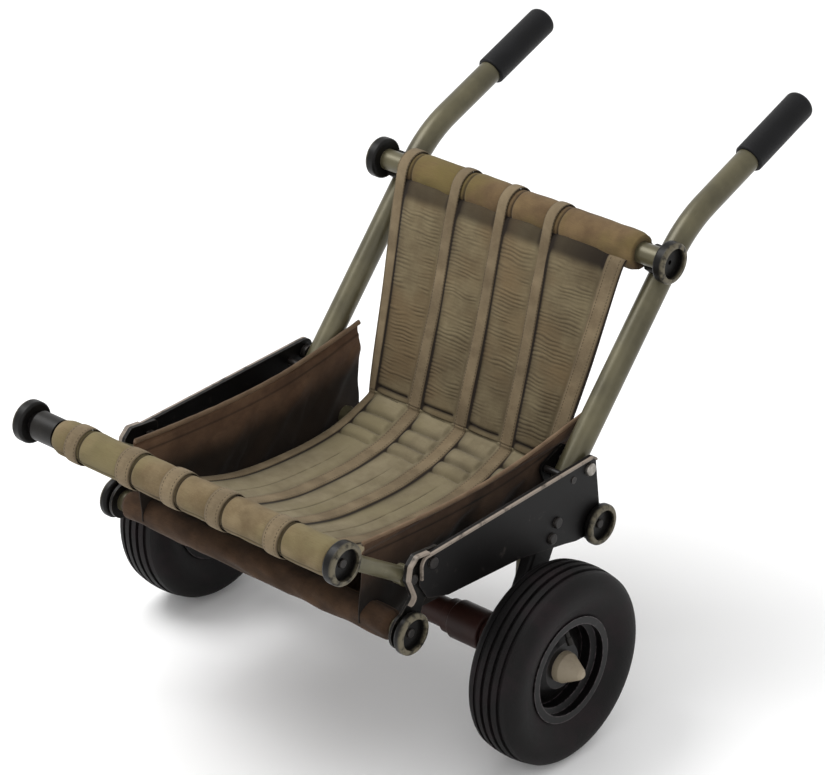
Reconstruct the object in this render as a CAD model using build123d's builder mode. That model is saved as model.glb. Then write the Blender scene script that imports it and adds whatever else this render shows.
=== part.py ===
"""Two-wheeled game cart with a sling seat: folding handles, front bar, stand and free-running wheels.

Millimetres. +X is the cart's right seen from behind its front bar looking back along +Y, -Y is the
front (foot) end, +Y the handle end and +Z is up. The origin is on the floor under the middle of the
cart's box. Places are written as (y, z) pairs, because nearly everything runs across the cart along X.
"""
from build123d import *
from math import cos, hypot, radians, sin
import os

# ---------------------------------------------------------------- driving dimensions
AXLE_Y = -114.7            # the axle lies in front of the middle of the cart's length
WHEEL_R = 128.0            # 10 in class pneumatic wheel
TYRE_W = 74.0
TRACK_HALF = 300.0         # middle plane of each wheel
HANDLE_X = 213.7           # centre plane of each handle tube
HANDLE_LEAN = 40.7         # lean of the lower handle from vertical, degrees
GRIP_RISE = 21.2           # rise of the grip end from level, degrees
HANDLE_R = 16.0            # 32 mm handle tube
BAR_R = 14.0               # 28 mm cross tubes
TUBE_WALL = 2.0
GRIP_R = 20.0
GRIP_LENGTH = 118.0
PLATE_X = 237.5            # inner face of each side plate
PLATE_T = 4.0
BRACKET_T = 4.0
ARM_X = 222.0              # centre plane of each front arm
ARM_R = 10.0
CAP_R = 27.0               # bar end caps
CAP_LENGTH = 16.0          # caps of the upper cross tube and the roller
LOWER_CAP_LENGTH = 12.0
LOWER_HALF = 254.0         # half length of the lower tubes over their caps
UPPER_HALF = 246.0
ROLLER_HALF = 265.0
STAND_X = 130.0
WEB_WIDTH = 22.0           # webbing
CLOTH_T = 4.0              # stand-in thickness of a fabric panel
FIT = 0.05                 # radial running clearance
CLOSE = 0.02               # play of pieces that are fixed together
GAP = 0.4                  # air between pieces that pass each other


def place(from_axle, height):
    """A (y, z) place, given its distance behind the axle and its height."""
    return (AXLE_Y + from_axle, height)


AXLE = place(0, WHEEL_R)
FRONT_TUBE = place(-202, 239)
REAR_TUBE = place(150, 238)
ROLLER = place(-330, 394)
UPPER_BAR = place(286, 546)
HANDLE_PIVOT = place(134, 320)
ARM_PIVOT = place(-188, 303)
RAIL_BOLT = place(-157, 314)

PIVOT_BOLT_R = 5.0
BOLT_R = 4.0
CAP_BOLT_R = 3.0
UP_HANDLE = Vector(0, sin(radians(HANDLE_LEAN)), cos(radians(HANDLE_LEAN)))
BEHIND_HANDLE = Vector(0, cos(radians(HANDLE_LEAN)), -sin(radians(HANDLE_LEAN)))


def along(start, direction, distance):
    """The (y, z) place at a distance from start along a direction in the YZ plane."""
    return (start[0] + direction.Y * distance, start[1] + direction.Z * distance)


def across(x):
    """The plane square to the cart's width at x; sketches on it are in (y, z)."""
    return Plane.YZ.offset(x)


def rod(centre, radius, x_from, x_to, bore=0.0):
    """A round bar along X, or a ring or tube where it has a bore."""
    with BuildPart() as piece:
        with BuildSketch(across(x_from)):
            with Locations(centre):
                Circle(radius)
                if bore:
                    Circle(bore, mode=Mode.SUBTRACT)
        extrude(amount=x_to - x_from)
    return piece


def both_sides(*pieces):
    """The pieces and their mirror images, as one group of separate solids."""
    with BuildPart() as group:
        for piece in pieces:
            add(piece.part)
        mirror(about=Plane.YZ)
    return group


def other_side(piece):
    """The mirror image of a piece, on the left."""
    with BuildPart() as image:
        mirror(piece.part, about=Plane.YZ)
    return image


def plate(outline_places, thickness, x, corner, lugs=(), holes=()):
    """A flat plate square to X: a rounded outline joined to round lugs, with round holes."""
    with BuildPart() as piece:
        with BuildSketch(across(x)) as outline:
            Polygon(*outline_places, align=None)
            fillet(outline.vertices(), radius=corner)
            for centre, radius in lugs:
                with Locations(centre):
                    Circle(radius)
            for centre, radius in holes:
                with Locations(centre):
                    Circle(radius, mode=Mode.SUBTRACT)
        extrude(amount=thickness)
    return piece


def flange(outline_places, zone, corner, x, width, thickness):
    """The turned edge of a pressed plate: the rim of its outline inside a zone, standing off X."""
    with BuildPart() as piece:
        with BuildSketch(across(x)) as rim_line:
            Polygon(*outline_places, align=None)
            fillet(rim_line.vertices(), radius=corner)
            offset(amount=-thickness, mode=Mode.SUBTRACT)
            Polygon(*zone, align=None, mode=Mode.INTERSECT)
        extrude(amount=width)
    return piece


def pressed_plate(outline_places, zone, corner, x, thickness, edge, lugs, holes):
    """A plate with part of its edge turned outward as a flange, edge being (width, thickness)."""
    panel = plate(outline_places, thickness, x, corner, lugs, holes)
    turned_edge = flange(outline_places, zone, corner, x, *edge)
    with BuildPart() as piece:
        add(panel.part)
        add(turned_edge.part)
    return piece


def tube_along(start, direction, length, radius, x, bore=0.0):
    """A round bar or tube in the plane at x, from a place along a direction."""
    with BuildPart() as piece:
        with BuildSketch(Plane(origin=(x, start[0], start[1]), x_dir=(1, 0, 0), z_dir=direction)):
            Circle(radius)
            if bore:
                Circle(bore, mode=Mode.SUBTRACT)
        extrude(amount=length)
    return piece


def bolt(centre, radius, x_head, x_end, head_r, head_h):
    """A bolt along X with a domed head at x_head, its shank running to x_end."""
    outward = 1 if x_head > x_end else -1
    with BuildPart() as piece:
        with BuildSketch(across(x_end)):
            with Locations(centre):
                Circle(radius)
        extrude(amount=x_head - x_end)
        with BuildSketch(across(x_head)):
            with Locations(centre):
                Circle(head_r)
        extrude(amount=outward * head_h)
        face = piece.faces().sort_by(Axis.X)[-1 if outward > 0 else 0]
        fillet(face.edges(), radius=head_h * 0.6)
    return piece


def nut(centre, bolt_radius, x_from, x_to, across_flats):
    """A hexagon nut round a bolt that runs along X."""
    with BuildPart() as piece:
        with BuildSketch(across(x_from)):
            with Locations(centre):
                RegularPolygon(across_flats / 2, 6, major_radius=False)
                Circle(bolt_radius, mode=Mode.SUBTRACT)
        extrude(amount=x_to - x_from)
    return piece


CAP_SINK = 8.0             # depth of a cap's recess, where its screw is seated


def end_cap(centre, x_face, spigot_r, length=CAP_LENGTH):
    """A round end cap with a rim and a sunk face, and a spigot that plugs into the tube."""
    rim_width = 7.0
    spigot = 8.0
    edge_r = 4.0
    with BuildPart() as piece:
        with BuildSketch(across(x_face - length)):
            with Locations(centre):
                Circle(CAP_R)
        extrude(amount=length)
        fillet(piece.edges().filter_by(GeomType.CIRCLE), radius=edge_r)
        with BuildSketch(across(x_face)):
            with Locations(centre):
                Circle(CAP_R - rim_width)
        extrude(amount=-CAP_SINK, mode=Mode.SUBTRACT)
        with BuildSketch(across(x_face - length)):
            with Locations(centre):
                Circle(spigot_r)
        extrude(amount=-spigot)
        with BuildSketch(across(x_face)):
            with Locations(centre):
                Circle(CAP_BOLT_R + CLOSE)
        extrude(amount=-length - spigot, mode=Mode.SUBTRACT)
    return piece


def cap_bolt(centre, x_face):
    """The round-headed screw in the middle of an end cap."""
    return bolt(centre, CAP_BOLT_R, x_face - CAP_SINK, x_face - CAP_LENGTH - 12, 6, 3)


def sheet(points, half_width, thickness=CLOTH_T):
    """A cloth panel that runs across the cart, its section a smooth line through the places."""
    with BuildPart() as piece:
        with BuildSketch(across(-half_width)):
            with BuildLine():
                run = Spline(*points)
            trace(run, line_width=thickness)
        extrude(amount=2 * half_width)
    return piece


def raised(points, lift):
    """The places moved square to the line through them, to lay one sheet on another."""
    moved = []
    last = len(points) - 1
    for i, (y, z) in enumerate(points):
        before = points[max(i - 1, 0)]
        after = points[min(i + 1, last)]
        run, rise = after[0] - before[0], after[1] - before[1]
        length = hypot(run, rise)
        moved.append((y - lift * rise / length, z + lift * run / length))
    return moved


# ---------------------------------------------------------------- wheels
def wheel_profile_plane(x):
    """The plane through the axle line whose sketches are in (x, radius)."""
    return Plane(origin=(x, AXLE[0], AXLE[1]), x_dir=(1, 0, 0), z_dir=(0, -1, 0))


WHEEL_AXIS = Axis((0, AXLE[0], AXLE[1]), (1, 0, 0))
ROD_R = 8.0
RIM_R = 66.0
RIM_HALF = 29.0
HUB_R = 20.0
HUB_INNER = 35.0           # from the wheel's middle plane to the hub's inner and outer ends
HUB_OUTER = 17.0
BEARING_R = 17.5
BEARING_W = 11.0
ROD_PAST_HUB = 9.0
NUT_HEIGHT = 7.0
HUB_CAP_LENGTH = 30.0
HUB_CAP_TIP_R = 7.5
TYRE_HALF = TYRE_W / 2
TREAD_HALF = 27.0
GROOVE_DEPTH = 4.5
GROOVE_HALF = 2.6
TREAD_GROOVES = (-18.5, -6.2, 6.2, 18.5)


def turned(x, *outlines):
    """A ring turned about the axle from closed outlines in (x, radius)."""
    with BuildPart() as piece:
        with BuildSketch(wheel_profile_plane(x)):
            for outline in outlines:
                Polygon(*outline, align=None)
        revolve(axis=WHEEL_AXIS)
    return piece


def tyre(x):
    """A pneumatic tyre: round-shouldered casing round an air space, with a ribbed tread."""
    bead = (26.5, RIM_R + 4.2)
    shoulder = (TREAD_HALF, WHEEL_R - 3.5)
    air = [(-20, RIM_R + 4), (-29, 92), (-22, 113), (22, 113), (29, 92), (20, RIM_R + 4)]
    with BuildPart() as piece:
        with BuildSketch(wheel_profile_plane(x)):
            with BuildLine():
                ThreePointArc((-shoulder[0], shoulder[1]), (0, WHEEL_R), shoulder)
                Spline(shoulder, (TYRE_HALF, 94), bead, tangents=[(1, -0.55), (-0.4, -1)])
                Line(bead, (-bead[0], bead[1]))
                Spline((-bead[0], bead[1]), (-TYRE_HALF, 94), (-shoulder[0], shoulder[1]),
                       tangents=[(-0.4, 1), (1, 0.55)])
            make_face()
            Polygon(*air, align=None, mode=Mode.SUBTRACT)
            for groove in TREAD_GROOVES:
                with Locations((groove, WHEEL_R)):
                    Rectangle(2 * GROOVE_HALF, 2 * GROOVE_DEPTH, mode=Mode.SUBTRACT)
        revolve(axis=WHEEL_AXIS)
    return piece


def rim(x, side):
    """A pressed steel rim: flanges and a drop-centre barrel joined by a dished web to the hub."""
    barrel = [(-RIM_HALF, RIM_R - 6), (-RIM_HALF, RIM_R + 4), (-RIM_HALF + 3, RIM_R + 4),
              (-RIM_HALF + 3, RIM_R - 1), (-15, RIM_R - 1), (-11, RIM_R - 8), (11, RIM_R - 8),
              (15, RIM_R - 1), (RIM_HALF - 3, RIM_R - 1), (RIM_HALF - 3, RIM_R + 4), (RIM_HALF, RIM_R + 4),
              (RIM_HALF, RIM_R - 6), (17, RIM_R - 4), (13, RIM_R - 11), (-13, RIM_R - 11), (-17, RIM_R - 4)]
    web = [(side * -6, RIM_R - 9.5), (side * -2, RIM_R - 9.5), (side * 9, 38), (side * 14, 30),
           (side * 14, HUB_R), (side * 10, HUB_R), (side * 10, 28), (side * 5, 37)]
    return turned(x, barrel, web)


def hub(x):
    """The hub barrel with a bearing seat at each end, and the tapered cap over the axle's nut."""
    inner_step = -HUB_INNER + BEARING_W
    outer_step = HUB_OUTER - BEARING_W
    barrel = [(-HUB_INNER, BEARING_R), (-HUB_INNER, HUB_R), (HUB_OUTER, HUB_R), (HUB_OUTER, BEARING_R),
              (outer_step, BEARING_R), (outer_step, ROD_R + 2), (inner_step, ROD_R + 2),
              (inner_step, BEARING_R)]
    foot = HUB_OUTER + CLOSE
    nut_room = HUB_OUTER + NUT_HEIGHT + 1.2
    tip = HUB_OUTER + HUB_CAP_LENGTH
    cap = [(foot, 15), (foot, HUB_R), (foot + 5, HUB_R - 0.5), (tip - 3, HUB_CAP_TIP_R),
           (tip, HUB_CAP_TIP_R - 3), (tip, 0), (tip - 4, 0), (nut_room + 3, ROD_R + 1),
           (nut_room, ROD_R + 1), (nut_room, 15)]
    return turned(x, barrel, cap)


def bearings(x):
    """The pair of ball bearings in a hub, each as one ring that runs on the rod."""
    rings = []
    for start in (-HUB_INNER, HUB_OUTER - BEARING_W):
        end = start + BEARING_W
        rings.append([(start, ROD_R + FIT), (start, BEARING_R), (end, BEARING_R), (end, ROD_R + FIT)])
    return turned(x, *rings)


def valve(x, side):
    """The tyre valve, through the rim's barrel and leaning out towards the outer side."""
    length = 26.0
    stem = Plane(origin=(x + side * 15, AXLE[0], AXLE[1] + RIM_R - 7.5), x_dir=(0, 1, 0),
                 z_dir=(side * 0.45, 0, -0.893))
    with BuildPart() as piece:
        with BuildSketch(stem):
            Circle(3.2)
        extrude(amount=length)
        with BuildSketch(stem.offset(length - 9)):
            Circle(4.2)
        extrude(amount=9)
    return piece


right_wheel = {
    "tyre": tyre(TRACK_HALF),
    "rim": rim(TRACK_HALF, 1),
    "hub": hub(TRACK_HALF),
    "bearings": bearings(TRACK_HALF),
    "valve": valve(TRACK_HALF, 1),
}

# ---------------------------------------------------------------- axle
AXLE_TUBE_R = 19.0
COLLAR_R = 25.5
COLLAR_FROM = 146.0
COLLAR_TO = 196.0
SPACER_R = 14.0
HUB_INNER_X = TRACK_HALF - HUB_INNER
HUB_OUTER_X = TRACK_HALF + HUB_OUTER


def axle_collar():
    """The thick sleeve on the right end of the axle tube, stepped down at its inner end."""
    with BuildPart() as piece:
        add(rod(AXLE, COLLAR_R, COLLAR_FROM, COLLAR_TO, bore=AXLE_TUBE_R + CLOSE).part)
        outer_edges = piece.edges().filter_by(GeomType.CIRCLE).sort_by(SortBy.RADIUS)[-2:]
        fillet(outer_edges, radius=3)
        add(rod(AXLE, COLLAR_R - 3, COLLAR_FROM - 12, COLLAR_FROM, bore=AXLE_TUBE_R + CLOSE).part)
    return piece


axle_tube = rod(AXLE, AXLE_TUBE_R, -PLATE_X, PLATE_X, bore=AXLE_TUBE_R - 3)
axle_rod = rod(AXLE, ROD_R, -HUB_OUTER_X - ROD_PAST_HUB, HUB_OUTER_X + ROD_PAST_HUB)
axle_collars = both_sides(axle_collar())
axle_bushes = both_sides(rod(AXLE, AXLE_TUBE_R - 3 - CLOSE, PLATE_X - 25, PLATE_X, bore=ROD_R + CLOSE))
axle_spacers = both_sides(
    rod(AXLE, SPACER_R, PLATE_X + 0.1, HUB_INNER_X - GAP, bore=ROD_R + CLOSE),
)
axle_nuts = both_sides(nut(AXLE, ROD_R + CLOSE, HUB_OUTER_X + GAP, HUB_OUTER_X + GAP + NUT_HEIGHT, 24))

# ---------------------------------------------------------------- lower frame
TUBE_BORE = BAR_R - TUBE_WALL
SPIGOT_R = TUBE_BORE - CLOSE
HEAD_H = 4.0
LEG_LEAN = 27.0
LEG_LENGTH = 170.0
LEG_WIDTH = 40.0
LEG_DEPTH = 19.0
LEG_WALL = 2.5
LEG_BOSS_R = 26.0
LEG_X = PLATE_X - 0.1 - LEG_DEPTH
LEG_UP = Vector(0, sin(radians(LEG_LEAN)), cos(radians(LEG_LEAN)))
LEG_BOLTS = [along(AXLE, LEG_UP, 139), along(AXLE, LEG_UP, 160)]
CHEEK_X = 193.0
CHEEK_T = 4.0
STOP_R = 4.5
STOP = along(along(HANDLE_PIVOT, UP_HANDLE, -22), BEHIND_HANDLE, -(HANDLE_R + STOP_R + GAP))
BRACKET_X = PLATE_X - BRACKET_T
OUTER_X = PLATE_X + PLATE_T
PLATE_FLANGE = (8.0, 3.0)
BRACKET_FLANGE = (11.0, 3.0)


def lower_tube(centre):
    half = LOWER_HALF - LOWER_CAP_LENGTH
    return rod(centre, BAR_R, -half, half, bore=TUBE_BORE)


def side_plate():
    """The right side plate, its top and front edge turned outward."""
    outline_places = [place(-180, 329), place(145, 338), place(150, 300), place(160, 225),
                      place(110, 228), place(89, 233), place(3, 249), place(-128, 257),
                      place(-165, 268), place(-180, 292)]
    zone = [place(-200, 300), place(-200, 350), place(160, 350), place(160, 331), place(-168, 321),
            place(-168, 300)]
    holes = [(RAIL_BOLT, BOLT_R + CLOSE), (HANDLE_PIVOT, PIVOT_BOLT_R + CLOSE), (STOP, STOP_R + CLOSE),
             (REAR_TUBE, BAR_R + CLOSE)]
    holes += [(centre, BOLT_R + CLOSE) for centre in LEG_BOLTS]
    return pressed_plate(outline_places, zone, 12, PLATE_X, PLATE_T, PLATE_FLANGE, [(REAR_TUBE, 24)], holes)


def front_bracket():
    """The right front bracket: an S-edged plate from the rail down to the lower front tube."""
    outline_places = [place(-140, 330), place(-186, 335), place(-198, 324), place(-201, 306),
                      place(-190, 280), place(-212, 258), place(-205, 232), place(-178, 240),
                      place(-168, 262), place(-142, 300)]
    zone = [place(-230, 272), place(-230, 345), place(-165, 345), place(-165, 330), place(-190, 318),
            place(-183, 280), place(-186, 272)]
    holes = [(RAIL_BOLT, BOLT_R + CLOSE), (ARM_PIVOT, BOLT_R + CLOSE), (FRONT_TUBE, BAR_R + CLOSE)]
    return pressed_plate(outline_places, zone, 6, BRACKET_X, BRACKET_T - 0.1, BRACKET_FLANGE,
                         [(FRONT_TUBE, 24)], holes)


def hinge_cheek():
    """The right inner cheek of the handle hinge, from the lower rear tube up to the pivot."""
    with BuildPart() as piece:
        with BuildSketch(across(CHEEK_X)):
            with BuildSketch(mode=Mode.PRIVATE) as lugs:
                for centre, radius in ((HANDLE_PIVOT, 17), (REAR_TUBE, 20), (STOP, 9)):
                    with Locations(centre):
                        Circle(radius)
            make_hull(lugs.sketch.edges())
            for centre, radius in ((HANDLE_PIVOT, PIVOT_BOLT_R), (REAR_TUBE, BAR_R), (STOP, STOP_R)):
                with Locations(centre):
                    Circle(radius + CLOSE, mode=Mode.SUBTRACT)
        extrude(amount=CHEEK_T)
    return piece


def axle_leg():
    """The right axle leg: a flattened tube from a boss round the axle up to the side plate."""
    middle = LEG_X + LEG_DEPTH / 2
    base = Plane(origin=(middle, AXLE[0], AXLE[1]), x_dir=(1, 0, 0), z_dir=LEG_UP)
    with BuildPart() as piece:
        with BuildSketch(base):
            RectangleRounded(LEG_DEPTH, LEG_WIDTH, 5)
        extrude(amount=LEG_LENGTH)
        with BuildSketch(across(LEG_X)):
            with Locations(AXLE):
                Circle(LEG_BOSS_R)
        extrude(amount=LEG_DEPTH)
        with BuildSketch(base.offset(LEG_BOSS_R + 2)):
            RectangleRounded(LEG_DEPTH - 2 * LEG_WALL, LEG_WIDTH - 2 * LEG_WALL, 3)
        extrude(amount=LEG_LENGTH, mode=Mode.SUBTRACT)
        with BuildSketch(across(LEG_X)):
            with Locations(AXLE):
                Circle(AXLE_TUBE_R + CLOSE)
            with Locations(*LEG_BOLTS):
                Circle(BOLT_R + CLOSE)
        extrude(amount=LEG_DEPTH, mode=Mode.SUBTRACT)
    return piece


lower_front_tube = lower_tube(FRONT_TUBE)
lower_rear_tube = lower_tube(REAR_TUBE)
lower_caps = both_sides(*[end_cap(centre, LOWER_HALF, SPIGOT_R, LOWER_CAP_LENGTH)
                          for centre in (FRONT_TUBE, REAR_TUBE)])
lower_cap_bolts = both_sides(*[cap_bolt(centre, LOWER_HALF) for centre in (FRONT_TUBE, REAR_TUBE)])
side_plate_right = side_plate()
front_bracket_right = front_bracket()
hinge_cheeks = both_sides(hinge_cheek())
axle_leg_right = axle_leg()
handle_stops = both_sides(rod(STOP, STOP_R, CHEEK_X - 1, OUTER_X + 1))

# bolts that hold the frame together, and the two pivots
ARM_EYE_X = ARM_X - 7
ARM_EYE_END = ARM_X + 7
NUT_FLATS = 13.0
PIVOT_NUT_FLATS = 17.0
FACE = 0.1                 # play under a bolt head or nut
frame_bolts = both_sides(
    bolt(RAIL_BOLT, BOLT_R, OUTER_X + FACE, BRACKET_X - 8, 7.5, HEAD_H),
    bolt(ARM_PIVOT, BOLT_R, PLATE_X + FACE, ARM_EYE_X - 9, 7, HEAD_H),
    *[bolt(centre, BOLT_R, OUTER_X + FACE, LEG_X - 8, 7.5, HEAD_H) for centre in LEG_BOLTS],
)
pivot_bolts = both_sides(bolt(HANDLE_PIVOT, PIVOT_BOLT_R, OUTER_X + FACE, CHEEK_X - 4.5, 8.5, 5))
lock_nuts = both_sides(
    nut(RAIL_BOLT, BOLT_R + CLOSE, BRACKET_X - 7, BRACKET_X - FACE, NUT_FLATS),
    nut(ARM_PIVOT, BOLT_R + CLOSE, ARM_EYE_X - 8, ARM_EYE_X - GAP, NUT_FLATS),
    *[nut(centre, BOLT_R + CLOSE, LEG_X - 7, LEG_X - FACE, NUT_FLATS) for centre in LEG_BOLTS],
    nut(HANDLE_PIVOT, PIVOT_BOLT_R + CLOSE, CHEEK_X - 4, CHEEK_X - FACE, PIVOT_NUT_FLATS),
)
pivot_spacers = both_sides(
    rod(HANDLE_PIVOT, 10, HANDLE_X + HANDLE_R + GAP, PLATE_X - FACE, bore=PIVOT_BOLT_R + CLOSE),
    rod(ARM_PIVOT, 8, ARM_EYE_END + GAP, BRACKET_X - FACE, bore=BOLT_R + CLOSE),
)

# ---------------------------------------------------------------- handles
HANDLE_TAIL = 26.0         # below the pivot
KNEE = along(HANDLE_PIVOT, UP_HANDLE, 326)
GRIP_DIRECTION = Vector(0, cos(radians(GRIP_RISE)), sin(radians(GRIP_RISE)))
GRIP_TIP = along(KNEE, GRIP_DIRECTION, 252)
GRIP_END_WALL = 6.0
HANDLE_BEND_R = 170.0
PIVOT_TO_BAR = Vector(0, UPPER_BAR[0] - HANDLE_PIVOT[0], UPPER_BAR[1] - HANDLE_PIVOT[1])
BAR_STANDOFF = -PIVOT_TO_BAR.dot(BEHIND_HANDLE)   # from the upper tube back to the handle's centre line
SADDLE_WIDTH = 24.0
SADDLE_LENGTH = 36.0
SADDLE_DEPTH = 20.0


def handle_tube(x):
    """A handle tube: straight up from the hinge, bent towards level, and straight into the grip."""
    tail = along(HANDLE_PIVOT, UP_HANDLE, -HANDLE_TAIL)
    top = along(GRIP_TIP, GRIP_DIRECTION, -GRIP_END_WALL - 0.5)
    with BuildPart() as piece:
        with BuildLine(across(x)) as route:
            FilletPolyline(tail, KNEE, top, radius=HANDLE_BEND_R)
        with BuildSketch(Plane(origin=route.line @ 0, z_dir=route.line % 0)):
            Circle(HANDLE_R)
            Circle(HANDLE_R - TUBE_WALL, mode=Mode.SUBTRACT)
        sweep(path=route.line)
        with BuildSketch(across(x)):
            with Locations(HANDLE_PIVOT):
                Circle(PIVOT_BOLT_R + FIT)
        extrude(amount=HANDLE_R + 2, both=True, mode=Mode.SUBTRACT)
        with BuildSketch(Plane(origin=(x, *UPPER_BAR), x_dir=(1, 0, 0), z_dir=BEHIND_HANDLE)):
            Circle(BOLT_R + CLOSE)
        extrude(amount=BAR_STANDOFF + HANDLE_R + 2, mode=Mode.SUBTRACT)
    return piece


def grip(x):
    """A closed rubber grip on the end of a handle."""
    start = along(GRIP_TIP, GRIP_DIRECTION, -GRIP_LENGTH)
    base = Plane(origin=(x, *start), x_dir=(1, 0, 0), z_dir=GRIP_DIRECTION)
    with BuildPart() as piece:
        with BuildSketch(base):
            Circle(GRIP_R)
        extrude(amount=GRIP_LENGTH)
        ends = piece.edges().filter_by(GeomType.CIRCLE).sort_by(Axis.Y)
        fillet(ends[-1], radius=8)
        fillet(ends[0], radius=3)
        with BuildSketch(base):
            Circle(HANDLE_R + CLOSE)
        extrude(amount=GRIP_LENGTH - GRIP_END_WALL, mode=Mode.SUBTRACT)
    return piece


def saddle():
    """The right saddle block that seats the upper cross tube on the handle tube."""
    seat_plane = Plane(origin=(HANDLE_X, *along(UPPER_BAR, BEHIND_HANDLE, BAR_STANDOFF / 2)), x_dir=(1, 0, 0),
                       z_dir=BEHIND_HANDLE)
    with BuildPart() as piece:
        with BuildSketch(seat_plane.offset(-SADDLE_DEPTH / 2)):
            RectangleRounded(SADDLE_WIDTH, SADDLE_LENGTH, 5)
        extrude(amount=SADDLE_DEPTH)
        with BuildSketch(across(HANDLE_X)):
            with Locations(UPPER_BAR):
                Circle(BAR_R + CLOSE)
        extrude(amount=SADDLE_WIDTH, both=True, mode=Mode.SUBTRACT)
        with BuildSketch(Plane(origin=(HANDLE_X, *HANDLE_PIVOT), x_dir=(1, 0, 0), z_dir=UP_HANDLE)):
            Circle(HANDLE_R + CLOSE)
        extrude(amount=400, mode=Mode.SUBTRACT)
        with BuildSketch(seat_plane):
            Circle(BOLT_R + CLOSE)
        extrude(amount=SADDLE_DEPTH, both=True, mode=Mode.SUBTRACT)
    return piece


def upper_bolt():
    """The bolt from behind the right handle, through its saddle, into an insert in the cross tube."""
    reach = BAR_STANDOFF + HANDLE_R + 0.5
    base = Plane(origin=(HANDLE_X, *UPPER_BAR), x_dir=(1, 0, 0), z_dir=BEHIND_HANDLE)
    with BuildPart() as piece:
        with BuildSketch(base):
            Circle(BOLT_R)
        extrude(amount=reach + HEAD_H)
        with BuildSketch(base.offset(-2)):
            Circle(BOLT_R + 3)
        extrude(amount=8)
        with BuildSketch(base.offset(reach)):
            Circle(7.5)
        extrude(amount=HEAD_H)
    return piece


def upper_cross_tube():
    """The upper cross tube, drilled for the bolt through each handle."""
    with BuildPart() as piece:
        add(rod(UPPER_BAR, BAR_R, -UPPER_HALF + CAP_LENGTH, UPPER_HALF - CAP_LENGTH, bore=TUBE_BORE).part)
        for x in (-HANDLE_X, HANDLE_X):
            with BuildSketch(Plane(origin=(x, *UPPER_BAR), x_dir=(1, 0, 0), z_dir=BEHIND_HANDLE)):
                Circle(BOLT_R + CLOSE)
            extrude(amount=BAR_R + 1, mode=Mode.SUBTRACT)
    return piece


UPPER_SLEEVE_R = 24.5
UPPER_SLEEVE_HALF = 190.0
handle_tube_right = handle_tube(HANDLE_X)
grips = both_sides(grip(HANDLE_X))
saddles = both_sides(saddle())
upper_bolts = both_sides(upper_bolt())
upper_tube = upper_cross_tube()
upper_caps = both_sides(end_cap(UPPER_BAR, UPPER_HALF, SPIGOT_R))
upper_sleeve = rod(UPPER_BAR, UPPER_SLEEVE_R, -UPPER_SLEEVE_HALF, UPPER_SLEEVE_HALF, bore=BAR_R + CLOSE)

# ---------------------------------------------------------------- front bar and its arms
ROLLER_SLEEVE_R = 22.5
ROLLER_SLEEVE_HALF = 200.0
SOCKET_FROM = 204.0
SOCKET_TO = 240.0
ARM_EYE_R = 12.5
TO_ROLLER = Vector(0, ROLLER[0] - ARM_PIVOT[0], ROLLER[1] - ARM_PIVOT[1]).normalized()
ARM_LENGTH = hypot(ROLLER[0] - ARM_PIVOT[0], ROLLER[1] - ARM_PIVOT[1])
ARM_STOP_SHORT = 18.0      # the arm tube ends in the socket, clear of the bar


def front_arm():
    """The right arm: a tube with a solid eye at the pivot end."""
    with BuildPart() as piece:
        add(tube_along(ARM_PIVOT, TO_ROLLER, ARM_LENGTH - ARM_STOP_SHORT, ARM_R, ARM_X).part)
        with BuildSketch(across(ARM_EYE_X)):
            with Locations(ARM_PIVOT):
                Circle(ARM_EYE_R)
        extrude(amount=ARM_EYE_END - ARM_EYE_X)
        bore_start = along(ARM_PIVOT, TO_ROLLER, 18)
        with BuildSketch(Plane(origin=(ARM_X, *bore_start), x_dir=(1, 0, 0), z_dir=TO_ROLLER)):
            Circle(ARM_R - TUBE_WALL)
        extrude(amount=ARM_LENGTH, mode=Mode.SUBTRACT)
        for side in (-1, 1):
            with BuildSketch(across(ARM_X + side * 7)):
                with Locations(ARM_PIVOT):
                    Circle(ARM_EYE_R + 1)
            extrude(amount=side * 5, mode=Mode.SUBTRACT)
        with BuildSketch(across(ARM_EYE_X)):
            with Locations(ARM_PIVOT):
                Circle(BOLT_R + FIT)
        extrude(amount=ARM_EYE_END - ARM_EYE_X, mode=Mode.SUBTRACT)
    return piece


def arm_socket():
    """The right elbow: a sleeve round the front bar with a socket for the arm."""
    to_pivot = TO_ROLLER * -1
    mouth = Plane(origin=(ARM_X, *ROLLER), x_dir=(1, 0, 0), z_dir=to_pivot)
    with BuildPart() as piece:
        with BuildSketch(across(SOCKET_FROM)):
            with Locations(ROLLER):
                Circle(BAR_R + 5)
        extrude(amount=SOCKET_TO - SOCKET_FROM)
        with BuildSketch(mouth):
            Circle(ARM_R + 4)
        extrude(amount=50)
        with BuildSketch(across(SOCKET_FROM)):
            with Locations(ROLLER):
                Circle(BAR_R + CLOSE)
        extrude(amount=SOCKET_TO - SOCKET_FROM, mode=Mode.SUBTRACT)
        with BuildSketch(mouth.offset(ARM_STOP_SHORT - 0.2)):
            Circle(ARM_R + CLOSE)
        extrude(amount=50, mode=Mode.SUBTRACT)
    return piece


front_arms = both_sides(front_arm())
arm_sockets = both_sides(arm_socket())
roller_tube = rod(ROLLER, BAR_R, -ROLLER_HALF + CAP_LENGTH, ROLLER_HALF - CAP_LENGTH, bore=TUBE_BORE)
roller_caps = both_sides(end_cap(ROLLER, ROLLER_HALF, SPIGOT_R))
roller_cap_bolts = both_sides(cap_bolt(ROLLER, ROLLER_HALF))
roller_sleeve = rod(ROLLER, ROLLER_SLEEVE_R, -ROLLER_SLEEVE_HALF, ROLLER_SLEEVE_HALF, bore=BAR_R + CLOSE)

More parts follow.
